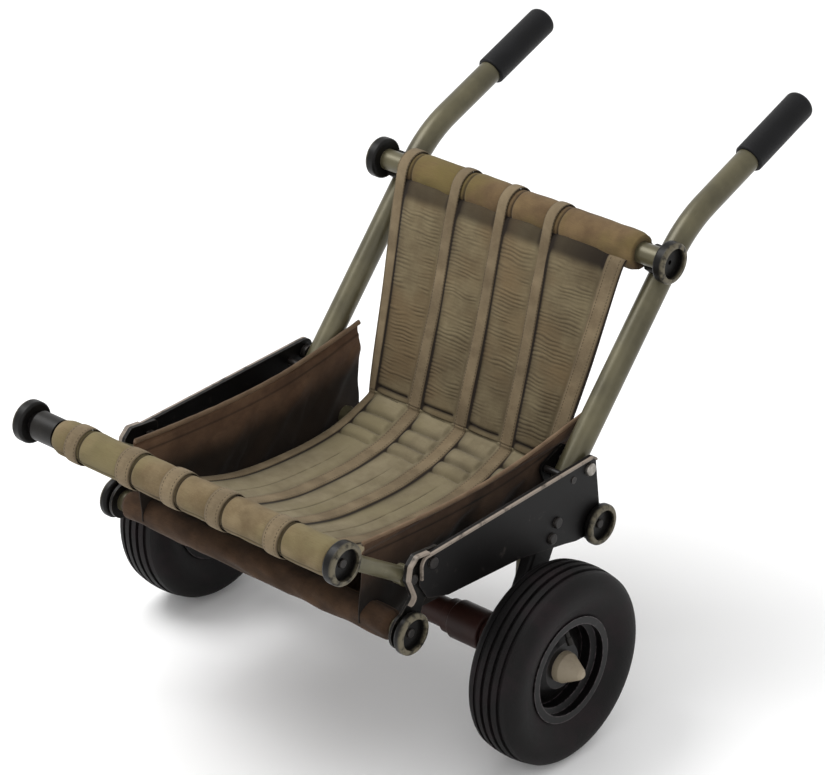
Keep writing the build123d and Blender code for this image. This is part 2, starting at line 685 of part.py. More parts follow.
# ---------------------------------------------------------------- stand
STAND_FOOT = place(135, 12)
STAND_EYE_R = 20.0
STAND_EYE_HALF = 10.0
STAND_R = 9.0
CROSSBAR_R = 7.0
FOOT_R = 13.0
FOOT_H = 24.0
STAND_DOWN = Vector(0, STAND_FOOT[0] - REAR_TUBE[0], STAND_FOOT[1] - REAR_TUBE[1]).normalized()
STAND_LENGTH = hypot(STAND_FOOT[0] - REAR_TUBE[0], STAND_FOOT[1] - REAR_TUBE[1])
CROSSBAR = along(REAR_TUBE, STAND_DOWN, 62)


def stand_leg(x):
    """A stand leg: a tube hung by an eye that turns on the lower rear tube."""
    with BuildPart() as piece:
        add(tube_along(REAR_TUBE, STAND_DOWN, STAND_LENGTH, STAND_R, x).part)
        with BuildSketch(across(x - STAND_EYE_HALF)):
            with Locations(REAR_TUBE):
                Circle(STAND_EYE_R)
        extrude(amount=2 * STAND_EYE_HALF)
        with BuildSketch(across(x - STAND_EYE_HALF)):
            with Locations(REAR_TUBE):
                Circle(BAR_R + FIT)
            with Locations(CROSSBAR):
                Circle(CROSSBAR_R + CLOSE)
        extrude(amount=2 * STAND_EYE_HALF, mode=Mode.SUBTRACT)
    return piece


def stand_foot():
    """The right rubber foot, flat on the floor, with the leg plugged into it."""
    with BuildPart() as piece:
        with BuildSketch(Plane.XY):
            with Locations((STAND_X, STAND_FOOT[0])):
                Circle(FOOT_R)
        extrude(amount=FOOT_H)
        fillet(piece.edges().group_by(Axis.Z)[-1], radius=4)
        leg_end = Plane(origin=(STAND_X, *STAND_FOOT), x_dir=(1, 0, 0), z_dir=STAND_DOWN * -1)
        with BuildSketch(leg_end.offset(-0.2)):
            Circle(STAND_R + CLOSE)
        extrude(amount=FOOT_H + 5, mode=Mode.SUBTRACT)
    return piece


def stand_stop():
    """The right stop collar on the rear tube, with a finger in front of the stand leg."""
    collar_w = 8.0
    collar_x = STAND_X - STAND_EYE_HALF - GAP - collar_w
    leg_front = along(REAR_TUBE, STAND_DOWN, 40)[0] - STAND_R - 0.9
    with BuildPart() as piece:
        with BuildSketch(across(collar_x)):
            with Locations(REAR_TUBE):
                Circle(BAR_R + 4)
            with Locations(((leg_front + REAR_TUBE[0]) / 2 - 5, REAR_TUBE[1] - 20)):
                Rectangle(REAR_TUBE[0] - leg_front + 10, 40)
            with Locations(REAR_TUBE):
                Circle(BAR_R + CLOSE, mode=Mode.SUBTRACT)
        extrude(amount=collar_w)
        with BuildSketch(across(collar_x)):
            with Locations((leg_front - 5, REAR_TUBE[1] - 34)):
                Rectangle(10, 12)
        extrude(amount=collar_w + 2 * STAND_R)
    return piece


stand_legs = both_sides(stand_leg(STAND_X))
stand_feet = both_sides(stand_foot())
stand_stops = both_sides(stand_stop())
stand_crossbar = rod(CROSSBAR, CROSSBAR_R, -STAND_X - STAND_R, STAND_X + STAND_R, bore=CROSSBAR_R - 1.5)

# ---------------------------------------------------------------- cloth, as plain stand-ins
SEAT_LINE = [place(-304, 391), place(-200, 299), place(-94, 254), place(12, 242), place(100, 247),
             place(168, 274)]
BACK_LINE = [place(173, 283), place(216, 405), place(256, 534)]
SEAT_FRONT_HALF = 178.0
FOLD_HALF = 158.0
BACK_TOP_HALF = 190.0
WEB_T = 2.0
WEB_LIFT = 3.2
BAG_SIDE_X = 181.0
BAG_HALF = 180.0
BAG_LINE = [place(-190, 220.5), place(-100, 209), place(-26, 206), place(60, 207), place(118, 211)]
FRONT_WRAP_HALF = 225.0    # cloth wrapped round the lower front tube
REAR_WRAP_HALF = 105.0     # and round the rear tube, between the stand's legs
STRAPS_AT_FOLD = (-146, -79, -1, 76, 146)      # the webbing straps' places across the cart
STRAPS_AT_ROLLER = (-165, -77, -2, 72, 166)
STRAPS_AT_TOP = (-178, -91, -12, 64, 176)


def wedge(plane, reach, near, far, near_half, far_half):
    """A block whose width changes evenly from one end of the plane's second axis to the other."""
    with BuildPart() as piece:
        with BuildSketch(plane):
            Polygon((-near_half, near), (near_half, near), (far_half, far), (-far_half, far), align=None)
        extrude(amount=reach, both=True)
    return piece


def strips(plane, reach, near, far, near_places, far_places):
    """Five bands of webbing width that fan between two sets of places, as blocks to cut a sheet with."""
    half = WEB_WIDTH / 2
    with BuildPart() as piece:
        for near_x, far_x in zip(near_places, far_places):
            with BuildSketch(plane):
                Polygon((near_x - half, near), (near_x + half, near), (far_x + half, far),
                        (far_x - half, far), align=None)
            extrude(amount=reach, both=True)
    return piece


def cut_to(panel, blocks):
    """The part of a sheet that lies inside the blocks."""
    with BuildPart() as piece:
        add(panel.part)
        add(blocks.part, mode=Mode.INTERSECT)
    return piece


def loops(centre, inner_r, places):
    """Five turns of webbing round a padded bar."""
    with BuildPart() as piece:
        for middle in places:
            start = middle - WEB_WIDTH / 2
            add(rod(centre, inner_r + WEB_T, start, start + WEB_WIDTH, bore=inner_r).part)
    return piece


def bag_side():
    """The right side of the bag, a hanging panel between the two lower tubes."""
    outline_places = [place(-205, 338), place(0, 333), place(80, 337), place(150, 347), place(164, 258),
                      place(150, 214), place(-26, 206), place(-202, 214), place(-216, 262)]
    clear_r = BAR_R + CLOTH_T + 0.6
    with BuildPart() as piece:
        with BuildSketch(across(BAG_SIDE_X)) as outline:
            Polygon(*outline_places, align=None)
            fillet(outline.vertices(), radius=5)
            with Locations(FRONT_TUBE, REAR_TUBE):
                Circle(clear_r, mode=Mode.SUBTRACT)
        extrude(amount=CLOTH_T)
    return piece


SEAT_ENDS = (AXLE_Y - 320, AXLE_Y + 172)
BACK_ENDS = (260, 545)
CUT_REACH = 600
seat_wedge = wedge(Plane.XY, CUT_REACH, *SEAT_ENDS, SEAT_FRONT_HALF, FOLD_HALF)
back_wedge = wedge(Plane.XZ, CUT_REACH, *BACK_ENDS, FOLD_HALF, BACK_TOP_HALF)
seat_bands = strips(Plane.XY, CUT_REACH, *SEAT_ENDS, STRAPS_AT_ROLLER, STRAPS_AT_FOLD)
back_bands = strips(Plane.XZ, CUT_REACH, *BACK_ENDS, STRAPS_AT_FOLD, STRAPS_AT_TOP)
seat_sling = cut_to(sheet(SEAT_LINE, SEAT_FRONT_HALF + 5), seat_wedge)
seat_webbing = cut_to(sheet(raised(SEAT_LINE, WEB_LIFT), SEAT_FRONT_HALF + 5, WEB_T), seat_bands)
back_sling = cut_to(sheet(BACK_LINE, BACK_TOP_HALF + 5), back_wedge)
back_webbing = cut_to(sheet(raised(BACK_LINE, WEB_LIFT), BACK_TOP_HALF + 5, WEB_T), back_bands)
roller_loops = loops(ROLLER, ROLLER_SLEEVE_R + 0.1, STRAPS_AT_ROLLER)
upper_loops = loops(UPPER_BAR, UPPER_SLEEVE_R + 0.1, STRAPS_AT_TOP)
bag_side_right = bag_side()
bag_floor = sheet(BAG_LINE, BAG_HALF)
with BuildPart() as tube_sleeves:
    for tube_centre, sleeve_half in ((FRONT_TUBE, FRONT_WRAP_HALF), (REAR_TUBE, REAR_WRAP_HALF)):
        add(rod(tube_centre, BAR_R + CLOTH_T, -sleeve_half, sleeve_half, bore=BAR_R + CLOSE).part)

# ---------------------------------------------------------------- write one file per piece
pieces = {
    "side_plate_right": side_plate_right,
    "side_plate_left": other_side(side_plate_right),
    "front_bracket_right": front_bracket_right,
    "front_bracket_left": other_side(front_bracket_right),
    "hinge_cheeks": hinge_cheeks,
    "lower_front_tube": lower_front_tube,
    "lower_rear_tube": lower_rear_tube,
    "lower_caps": lower_caps,
    "lower_cap_bolts": lower_cap_bolts,
    "axle_leg_right": axle_leg_right,
    "axle_leg_left": other_side(axle_leg_right),
    "axle_tube": axle_tube,
    "axle_collars": axle_collars,
    "axle_rod": axle_rod,
    "axle_bushes": axle_bushes,
    "axle_spacers": axle_spacers,
    "axle_nuts": axle_nuts,
    "frame_bolts": frame_bolts,
    "pivot_bolts": pivot_bolts,
    "lock_nuts": lock_nuts,
    "pivot_spacers": pivot_spacers,
    "handle_stops": handle_stops,
    "stand_stops": stand_stops,
    "bag_side_right": bag_side_right,
    "bag_side_left": other_side(bag_side_right),
    "bag_floor": bag_floor,
    "tube_sleeves": tube_sleeves,
    "seat_sling": seat_sling,
    "seat_webbing": seat_webbing,
    "front_arms": front_arms,
    "arm_sockets": arm_sockets,
    "roller_tube": roller_tube,
    "roller_caps": roller_caps,
    "roller_cap_bolts": roller_cap_bolts,
    "roller_sleeve": roller_sleeve,
    "roller_loops": roller_loops,
    "handle_tube_right": handle_tube_right,
    "handle_tube_left": other_side(handle_tube_right),
    "grips": grips,
    "upper_tube": upper_tube,
    "upper_caps": upper_caps,
    "saddles": saddles,
    "upper_bolts": upper_bolts,
    "upper_sleeve": upper_sleeve,
    "upper_loops": upper_loops,
    "back_sling": back_sling,
    "back_webbing": back_webbing,
    "stand_legs": stand_legs,
    "stand_crossbar": stand_crossbar,
    "stand_feet": stand_feet,
}
for kind, piece in right_wheel.items():
    pieces[f"{kind}_right"] = piece
    pieces[f"{kind}_left"] = other_side(piece)

os.makedirs("parts", exist_ok=True)
for name, piece in pieces.items():
    piece.part.label = name
    export_step(piece.part, f"parts/{name}.step")

everything = Compound(children=[piece.part for piece in pieces.values()])
box = everything.bounding_box()
print(len(pieces), "pieces; box", box.min, box.max, "middle y", (box.min.Y + box.max.Y) / 2)
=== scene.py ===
"""Looks for the game cart: canvas, webbing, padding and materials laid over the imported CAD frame.

Metres, in the CAD frame: +X is the cart's right, -Y its front bar, +Y its handles and +Z up.
Cloth is built from sections in the (y, z) plane, given as (distance behind the axle, height) in
millimetres.
"""
from math import atan2, cos, degrees, hypot, pi, radians, sin

import bpy
import numpy as np
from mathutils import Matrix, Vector, noise


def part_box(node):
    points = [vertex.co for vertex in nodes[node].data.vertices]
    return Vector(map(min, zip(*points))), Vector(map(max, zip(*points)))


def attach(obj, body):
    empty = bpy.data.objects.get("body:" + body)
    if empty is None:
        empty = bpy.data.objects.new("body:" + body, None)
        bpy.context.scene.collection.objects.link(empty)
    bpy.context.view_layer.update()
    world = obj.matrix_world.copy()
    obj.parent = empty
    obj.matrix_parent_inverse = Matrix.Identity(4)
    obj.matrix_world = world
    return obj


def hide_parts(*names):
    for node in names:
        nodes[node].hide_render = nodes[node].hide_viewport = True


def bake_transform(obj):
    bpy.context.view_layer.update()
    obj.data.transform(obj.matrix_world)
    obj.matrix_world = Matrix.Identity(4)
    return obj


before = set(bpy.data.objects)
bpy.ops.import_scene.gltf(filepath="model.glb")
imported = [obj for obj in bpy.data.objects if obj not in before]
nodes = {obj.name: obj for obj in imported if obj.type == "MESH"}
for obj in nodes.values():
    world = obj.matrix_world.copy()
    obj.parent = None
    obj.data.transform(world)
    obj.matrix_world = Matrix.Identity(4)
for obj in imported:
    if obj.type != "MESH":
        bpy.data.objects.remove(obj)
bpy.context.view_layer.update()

MM = 0.001


def middle(node):
    """The middle of a CAD node's box."""
    low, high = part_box(node)
    return (low + high) / 2


AXLE_Y = middle("axle_tube").y
ROLLER = (middle("roller_tube").y, middle("roller_tube").z)
UPPER = (middle("upper_tube").y, middle("upper_tube").z)
FRONT_TUBE = (middle("lower_front_tube").y, middle("lower_front_tube").z)
REAR_TUBE = (middle("lower_rear_tube").y, middle("lower_rear_tube").z)
BAR_R = 14 * MM
ROLLER_PAD_R = 22.5 * MM
UPPER_PAD_R = 24.5 * MM
WEB_T = 1.5 * MM
CLOTH = 1.4 * MM
STRAP_LIFT = 0.6 * MM       # a strap's back above the cloth's own line
WORN_EDGE = 2.5 * MM        # reach of the wear in from a painted edge
SCRATCHES = 0.25            # how far scratches show the worn colour
SEAT_HALF_FRONT = 178 * MM
FOLD_HALF = 158 * MM
BACK_HALF_TOP = 190 * MM
# each strap's middle at the fold and at its bar, then its width at the fold and at its bar, in millimetres
SEAT_STRAPS = ((-152, -166, 11, 21), (-79, -77, 21, 24), (-1, -2, 21, 24), (76, 72, 21, 24),
               (147, 166, 20, 24))
BACK_STRAPS = ((-153, -182, 10, 17), (-79, -91, 21, 16), (-1, -12, 21, 16), (76, 64, 21, 16),
               (146, 176, 22, 27))


def place(behind_axle, height):
    """A (y, z) place in metres, from its millimetres behind the axle and above the floor."""
    return (AXLE_Y + behind_axle * MM, height * MM)


# ---------------------------------------------------------------- curves in the (y, z) plane
def smooth_line(points, count):
    """Evenly spaced points along a smooth (Catmull-Rom) line through the given ones."""
    points = np.array(points, float)
    padded = np.vstack([2 * points[0] - points[1], points, 2 * points[-1] - points[-2]])
    dense = []
    for i in range(1, len(padded) - 2):
        p0, p1, p2, p3 = padded[i - 1:i + 3]
        for t in np.linspace(0, 1, 60, endpoint=False):
            dense.append(0.5 * ((2 * p1) + (p2 - p0) * t + (2 * p0 - 5 * p1 + 4 * p2 - p3) * t**2
                                + (3 * p1 - p0 - 3 * p2 + p3) * t**3))
    dense.append(points[-1])
    return even(np.array(dense), count)


def run_along(line):
    """The distance along a line to each of its points."""
    return np.concatenate([[0], np.cumsum(np.hypot(*np.diff(line, axis=0).T))])


def even(line, count):
    """The same line as count points at even spacing."""
    run = run_along(line)
    at = np.linspace(0, run[-1], count)
    return np.stack([np.interp(at, run, line[:, 0]), np.interp(at, run, line[:, 1])], 1)


def length_of(line):
    return float(np.hypot(*np.diff(line, axis=0).T).sum())


def normals_of(line):
    """Unit normals in the plane, to the left of the direction of travel."""
    tangent = np.gradient(line, axis=0)
    tangent /= np.hypot(tangent[:, 0], tangent[:, 1])[:, None]
    return np.stack([-tangent[:, 1], tangent[:, 0]], 1)


def arc(centre, radius, start, end, count):
    """Points on a circle from one angle to another, in degrees."""
    angles = np.radians(np.linspace(start, end, count))
    return np.stack([centre[0] + radius * np.cos(angles), centre[1] + radius * np.sin(angles)], 1)


def bump_at(value, centre, width):
    """A smooth hump of height 1 at centre that dies away over width."""
    return np.exp(-((value - centre) / width) ** 2)


def ease(value, low, high):
    """0 below low, 1 above high and smooth between, for numbers or arrays."""
    t = np.clip((value - low) / (high - low), 0, 1)
    return t * t * (3 - 2 * t)


def field(u, v, scale, seed):
    """Smooth noise from about -1 to 1 over arrays of positions."""
    flat = [noise.noise(Vector((a * scale, b * scale, seed))) for a, b in zip(u.ravel(), v.ravel())]
    return np.array(flat).reshape(u.shape) * 1.6


# ---------------------------------------------------------------- mesh building
def new_mesh(name, points, faces, uvs, shade):
    """A smooth mesh object with a UV map in metres and a point attribute that darkens its material."""
    mesh = bpy.data.meshes.new(name)
    mesh.from_pydata([tuple(p) for p in points], [], faces)
    mesh.validate()
    layer = mesh.uv_layers.new(name="UVMap")
    index = np.zeros(len(mesh.loops), np.int32)
    mesh.loops.foreach_get("vertex_index", index)
    layer.data.foreach_set("uv", np.array(uvs, np.float32)[index].ravel())
    attribute = mesh.attributes.new("shade", "FLOAT", "POINT")
    attribute.data.foreach_set("value", np.array(shade, np.float32))
    mesh.polygons.foreach_set("use_smooth", [True] * len(mesh.polygons))
    made = bpy.data.objects.new(name, mesh)
    bpy.context.scene.collection.objects.link(made)
    return made


def grid_faces(rows, columns, wrap_rows=False, wrap_columns=False, start=0, flip=False):
    """Quads between the points of a grid that is stored row by row."""
    faces = []
    for r in range(rows if wrap_rows else rows - 1):
        for c in range(columns if wrap_columns else columns - 1):
            a = start + r * columns + c
            b = start + r * columns + (c + 1) % columns
            d = start + ((r + 1) % rows) * columns + c
            e = start + ((r + 1) % rows) * columns + (c + 1) % columns
            faces.append((a, d, e, b) if flip else (a, b, e, d))
    return faces


def shell(name, surface, uv, shade, thickness=CLOTH, back_shade=None):
    """A closed sheet: the surface, the same surface set back by the thickness, and the rim between."""
    back_shade = shade if back_shade is None else back_shade
    rows, columns = surface.shape[:2]
    down = np.gradient(surface, axis=0)
    across = np.gradient(surface, axis=1)
    normal = np.cross(across, down)
    normal /= np.linalg.norm(normal, axis=2)[:, :, None]
    back = surface - normal * thickness
    count = rows * columns
    points = np.concatenate([surface.reshape(-1, 3), back.reshape(-1, 3)])
    faces = grid_faces(rows, columns) + grid_faces(rows, columns, start=count, flip=True)
    rim = [c for c in range(columns)]
    rim += [r * columns + columns - 1 for r in range(1, rows)]
    rim += [(rows - 1) * columns + c for c in range(columns - 2, -1, -1)]
    rim += [r * columns for r in range(rows - 2, 0, -1)]
    for i, a in enumerate(rim):
        b = rim[(i + 1) % len(rim)]
        faces.append((b, a, a + count, b + count))
    return new_mesh(name, points, faces, np.concatenate([uv.reshape(-1, 2)] * 2),
                    np.concatenate([shade.ravel(), back_shade.ravel()]))


def ring_solid(name, rings, uvs, shade):
    """A closed solid from rings of points, each ring closed, with the last joined to the first."""
    rows, columns = rings.shape[:2]
    faces = grid_faces(rows, columns, wrap_rows=True, wrap_columns=True)
    return new_mesh(name, rings.reshape(-1, 3), faces, uvs.reshape(-1, 2), shade.ravel())


def swept_solid(name, rings, uvs, shade):
    """A closed solid from rings of points, with a flat cap on each end."""
    rows, columns = rings.shape[:2]
    faces = grid_faces(rows, columns, wrap_columns=True)
    faces.append(tuple(range(columns - 1, -1, -1)))
    faces.append(tuple(range((rows - 1) * columns, rows * columns)))
    return new_mesh(name, rings.reshape(-1, 3), faces, uvs.reshape(-1, 2), shade.ravel())


# ---------------------------------------------------------------- material building
def tree_of(name):
    material = bpy.data.materials.new(name)
    material.use_nodes = True
    tree = material.node_tree
    return material, tree, tree.nodes["Principled BSDF"]


def node(tree, kind, *inputs, **settings):
    """A new node, its inputs in order: sockets are linked, None is left alone and values are set."""
    made = tree.nodes.new(kind)
    for key, value in settings.items():
        setattr(made, key, value)
    for socket, value in zip(made.inputs, inputs):
        if isinstance(value, bpy.types.NodeSocket):
            tree.links.new(value, socket)
        elif value is not None:
            socket.default_value = value
    return made


def maths(tree, operation, *values):
    return node(tree, "ShaderNodeMath", *values, operation=operation).outputs[0]


def band(tree, value, low, high):
    """0 below low, 1 above high, smooth between."""
    made = node(tree, "ShaderNodeMapRange", value, low, high, interpolation_type="SMOOTHSTEP")
    return made.outputs[0]


def mixed(tree, share, a, b):
    """Colour a where share is 0 and b where it is 1."""
    made = tree.nodes.new("ShaderNodeMix")
    made.data_type = "RGBA"
    for socket, value in zip((made.inputs[0], made.inputs[6], made.inputs[7]), (share, a, b)):
        if isinstance(value, bpy.types.NodeSocket):
            tree.links.new(value, socket)
        else:
            socket.default_value = value if isinstance(value, float) else (*value, 1)
    return made.outputs[2]


def clouds(tree, where, scale, detail=4.0, roughness=0.6):
    """Noise around 0.5."""
    made = node(tree, "ShaderNodeTexNoise", where, None, scale, detail, roughness)
    return made.outputs[0]


def axes(tree, where):
    return node(tree, "ShaderNodeSeparateXYZ", where).outputs


def place_of(tree):
    return tree.nodes.new("ShaderNodeTexCoord").outputs["Object"]


def raise_bump(tree, surface, height, strength, distance):
    bump = node(tree, "ShaderNodeBump", strength, distance)
    tree.links.new(height, bump.inputs["Height"])
    tree.links.new(bump.outputs[0], surface.inputs["Normal"])


def woven(name, light, dark, pitch, rib=1.0, dirt_and_shade=(0.012, 0.008, 0.005), stain=None):
    """Cloth woven along its UV map: threads, slubs, patches of wear, and painted shade with grime where the
    mesh's shade attribute says.
    """
    material, tree, surface = tree_of(name)
    flat = node(tree, "ShaderNodeUVMap", uv_map="UVMap").outputs[0]
    u, v, _ = axes(tree, flat)
    warp = maths(tree, "SINE", maths(tree, "MULTIPLY", u, 2 * pi / pitch))
    weft = maths(tree, "SINE", maths(tree, "MULTIPLY", v, 2 * pi / (pitch * rib)))
    threads = maths(tree, "MULTIPLY", warp, weft)
    patches = clouds(tree, flat, 22.0, 5.0, 0.62)
    drawn_out = node(tree, "ShaderNodeMapping", flat, None, None, (60, 900, 1)).outputs[0]
    slub = clouds(tree, drawn_out, 1.0, 2.0)
    grain = clouds(tree, flat, 700.0, 2.0)
    colour = mixed(tree, band(tree, patches, 0.3133, 0.7), dark, light)
    if stain:
        spread = clouds(tree, flat, 7.0, 3.0)
        colour = mixed(tree, maths(tree, "MULTIPLY", band(tree, spread, 0.42, 0.64), 0.75), colour, stain)
    colour = mixed(tree, maths(tree, "MULTIPLY", band(tree, slub, 0.45, 0.75), 0.45), colour, dark)
    fleck = maths(tree, "MULTIPLY", band(tree, grain, 0.5, 0.72), 0.3)
    colour = mixed(tree, fleck, colour, light)
    between = maths(tree, "MULTIPLY", band(tree, threads, -0.2, -0.9), 0.3)
    colour = mixed(tree, between, colour, dark)
    # the shade attribute mixes in painted shade, with some grime, towards the darkening colour
    shade = node(tree, "ShaderNodeAttribute", attribute_name="shade").outputs["Fac"]
    colour = mixed(tree, shade, colour, dirt_and_shade)
    tree.links.new(colour, surface.inputs["Base Color"])
    surface.inputs["Roughness"].default_value = 0.93
    surface.inputs["Specular IOR Level"].default_value = 0.18
    surface.inputs["Sheen Weight"].default_value = 0.04
    surface.inputs["Sheen Roughness"].default_value = 0.5
    height = maths(tree, "ADD", maths(tree, "MULTIPLY", threads, 0.5), maths(tree, "MULTIPLY", grain, 0.8))
    raise_bump(tree, surface, height, 0.6, 0.0003)
    return material


def webbing(name, light, dark):
    """Woven strap: ribs along it, a bound edge, and a broken line of stitches near each edge."""
    material = woven(name, light, dark, 1.5 * MM, rib=0.7)
    tree = material.node_tree
    surface = tree.nodes["Principled BSDF"]
    flat = node(tree, "ShaderNodeUVMap", uv_map="UVMap").outputs[0]
    u, v, _ = axes(tree, flat)
    from_edge = maths(tree, "ABSOLUTE", maths(tree, "SUBTRACT", maths(tree, "ABSOLUTE", u), 7.6 * MM))
    in_line = band(tree, from_edge, 0.9 * MM, 0.35 * MM)
    dash = band(tree, maths(tree, "SINE", maths(tree, "MULTIPLY", v, 2 * pi / (4.2 * MM))), -0.35, 0.0)
    stitch = maths(tree, "MULTIPLY", maths(tree, "MULTIPLY", in_line, dash), 0.75)
    before = surface.inputs["Base Color"].links[0].from_socket
    tree.links.new(mixed(tree, stitch, before, tuple(0.35 * c for c in dark)), surface.inputs["Base Color"])
    return material


def painted(name, colour, roughness, wear, worn_colour, metallic=0.0, specular=0.4):
    """Satin paint with faint orange peel, scratches, dust in patches and worn edges."""
    material, tree, surface = tree_of(name)
    where = place_of(tree)
    broad = clouds(tree, where, 14.0, 4.0)
    fine = clouds(tree, where, 160.0, 3.0, 0.7)
    streaks = clouds(tree, node(tree, "ShaderNodeMapping", where, None, None, (900, 60, 60)).outputs[0],
                     1.0, 3.0)
    base = mixed(tree, band(tree, broad, 0.3, 0.75), tuple(c * 0.72 for c in colour),
                 tuple(min(1, c * 1.25) for c in colour))
    base = mixed(tree, maths(tree, "MULTIPLY", band(tree, streaks, 0.62, 0.8), SCRATCHES), base, worn_colour)
    bevelled = tree.nodes.new("ShaderNodeBevel")
    bevelled.samples = 4
    bevelled.inputs["Radius"].default_value = WORN_EDGE
    true = tree.nodes.new("ShaderNodeNewGeometry")
    turn = node(tree, "ShaderNodeVectorMath", bevelled.outputs[0], true.outputs["Normal"],
                operation="DOT_PRODUCT").outputs["Value"]
    rubbed = maths(tree, "MULTIPLY", band(tree, turn, 0.985, 0.9), band(tree, fine, 0.36, 0.6))
    rubbed = maths(tree, "MULTIPLY", rubbed, wear)
    base = mixed(tree, rubbed, base, worn_colour)
    tree.links.new(base, surface.inputs["Base Color"])
    surface.inputs["Metallic"].default_value = metallic
    surface.inputs["Specular IOR Level"].default_value = specular
    gloss = maths(tree, "ADD", maths(tree, "MULTIPLY", broad, 0.22), roughness - 0.1)
    tree.links.new(gloss, surface.inputs["Roughness"])
    raise_bump(tree, surface, fine, 0.18, 0.0004)
    return material


def pale_flange(material, from_x, colour, share=0.9):
    """A lighter colour, in patches, on everything further from the middle than from_x."""
    tree = material.node_tree
    surface = tree.nodes["Principled BSDF"]
    where = place_of(tree)
    out = maths(tree, "ABSOLUTE", axes(tree, where)[0])
    patches = band(tree, clouds(tree, where, 60.0, 4.0), 0.25, 0.5)
    mask = maths(tree, "MULTIPLY", band(tree, out, from_x - 0.1 * MM, from_x + 0.4 * MM), patches)
    mask = maths(tree, "MULTIPLY", mask, share)
    before = surface.inputs["Base Color"].links[0].from_socket
    tree.links.new(mixed(tree, mask, before, colour), surface.inputs["Base Color"])
    return material


def rubber(name, colour, tint, pitch, roughness=0.62, depth=0.4, specular=0.35):
    """Moulded rubber: a fine pebble, a second tint in broad patches, and uneven gloss."""
    material, tree, surface = tree_of(name)
    where = place_of(tree)
    pebble = node(tree, "ShaderNodeTexVoronoi", where, None, 1 / pitch).outputs[0]
    broad = clouds(tree, where, 20.0, 5.0)
    base = mixed(tree, band(tree, broad, 0.42, 0.72), colour, tint)
    tree.links.new(base, surface.inputs["Base Color"])
    gloss = maths(tree, "ADD", maths(tree, "MULTIPLY", broad, 0.25), roughness - 0.12)
    tree.links.new(gloss, surface.inputs["Roughness"])
    surface.inputs["Specular IOR Level"].default_value = specular
    raise_bump(tree, surface, pebble, depth, 0.0005)
    return material


def plated(name, colour, roughness=0.32):
    """Zinc plate: bright, a little stained, with turning marks."""
    material, tree, surface = tree_of(name)
    where = place_of(tree)
    stain = clouds(tree, where, 120.0, 4.0)
    base = mixed(tree, band(tree, stain, 0.35, 0.7), tuple(c * 0.55 for c in colour), colour)
    tree.links.new(base, surface.inputs["Base Color"])
    surface.inputs["Metallic"].default_value = 0.9
    gloss = maths(tree, "ADD", maths(tree, "MULTIPLY", stain, 0.3), roughness - 0.12)
    tree.links.new(gloss, surface.inputs["Roughness"])
    raise_bump(tree, surface, clouds(tree, where, 1500.0, 2.0), 0.12, 0.0002)
    return material


def end_cap_paint(name, face_x, rim, recess):
    """An end cap: a light rim at the face, partly painted highlight, and a near-black recess as painted
    shade.
    """
    material, tree, surface = tree_of(name)
    where = place_of(tree)
    out = maths(tree, "ABSOLUTE", axes(tree, where)[0])
    grime = clouds(tree, where, 110.0, 4.0)
    near_face = band(tree, out, face_x - 5.5 * MM, face_x - 0.4 * MM)
    base = mixed(tree, near_face, recess, rim)
    base = mixed(tree, band(tree, grime, 0.42, 0.72), base, tuple(c * 0.45 for c in recess))
    tree.links.new(base, surface.inputs["Base Color"])
    surface.inputs["Specular IOR Level"].default_value = 0.16
    gloss = maths(tree, "ADD", maths(tree, "MULTIPLY", grime, 0.3), 0.25)
    tree.links.new(gloss, surface.inputs["Roughness"])
    raise_bump(tree, surface, grime, 0.25, 0.0005)
    return material


def paint_node(name, material):
    mesh = nodes[name].data
    mesh.materials.clear()
    mesh.materials.append(material)


# ---------------------------------------------------------------- the materials
SLING = woven("sling_canvas", (0.175, 0.142, 0.082), (0.108, 0.082, 0.046), 1.9 * MM,
              stain=(0.135, 0.090, 0.045))
# a lighter copy of the sling canvas: painted light on the seat, which faces up to the key light
SEAT_LIT = woven("seat_canvas_lit", (0.205, 0.172, 0.108), (0.135, 0.110, 0.066), 1.9 * MM,
             stain=(0.160, 0.135, 0.075))
STRAP = webbing("sling_webbing", (0.215, 0.165, 0.100), (0.130, 0.096, 0.056))
PAD = woven("padded_canvas", (0.150, 0.100, 0.048), (0.088, 0.055, 0.028), 1.9 * MM,
            stain=(0.120, 0.095, 0.030))
PAD_FRONT = woven("front_pad_canvas", (0.185, 0.140, 0.078), (0.108, 0.075, 0.038), 1.9 * MM,
                  stain=(0.145, 0.125, 0.058))
BAG = woven("bag_canvas", (0.125, 0.072, 0.042), (0.070, 0.038, 0.022), 2.1 * MM,
            dirt_and_shade=(0.004, 0.003, 0.002))
# a lighter copy of the bag canvas: painted light on the hem along the top of each side
HEM_LIT = woven("hem_canvas_lit", (0.175, 0.118, 0.072), (0.105, 0.066, 0.040), 2.1 * MM)
WRAP = woven("wrap_canvas", (0.062, 0.034, 0.018), (0.028, 0.015, 0.008), 2.1 * MM)
TUBE_PAINT = painted("tube_paint", (0.085, 0.075, 0.042), 0.34, 0.6, (0.24, 0.21, 0.15), 0.3)
ARM_PAINT = painted("arm_paint", (0.100, 0.090, 0.052), 0.36, 0.6, (0.26, 0.23, 0.17), 0.3)
BLACK_PAINT = painted("black_paint", (0.0035, 0.003, 0.003), 0.42, 0.3, (0.06, 0.052, 0.045), specular=0.14)
AXLE_PAINT = painted("axle_paint", (0.022, 0.008, 0.006), 0.42, 0.5, (0.10, 0.05, 0.04), specular=0.2)
BRACKET_PAINT = pale_flange(painted("bracket_paint", (0.004, 0.0035, 0.003), 0.4, 0.4, (0.14, 0.12, 0.10),
                                    specular=0.16), 238.5 * MM, (0.24, 0.20, 0.165))
PLATE_PAINT = pale_flange(painted("plate_paint", (0.0035, 0.003, 0.003), 0.42, 0.3, (0.10, 0.085, 0.075),
                                  specular=0.14), 242.0 * MM, (0.24, 0.20, 0.165))
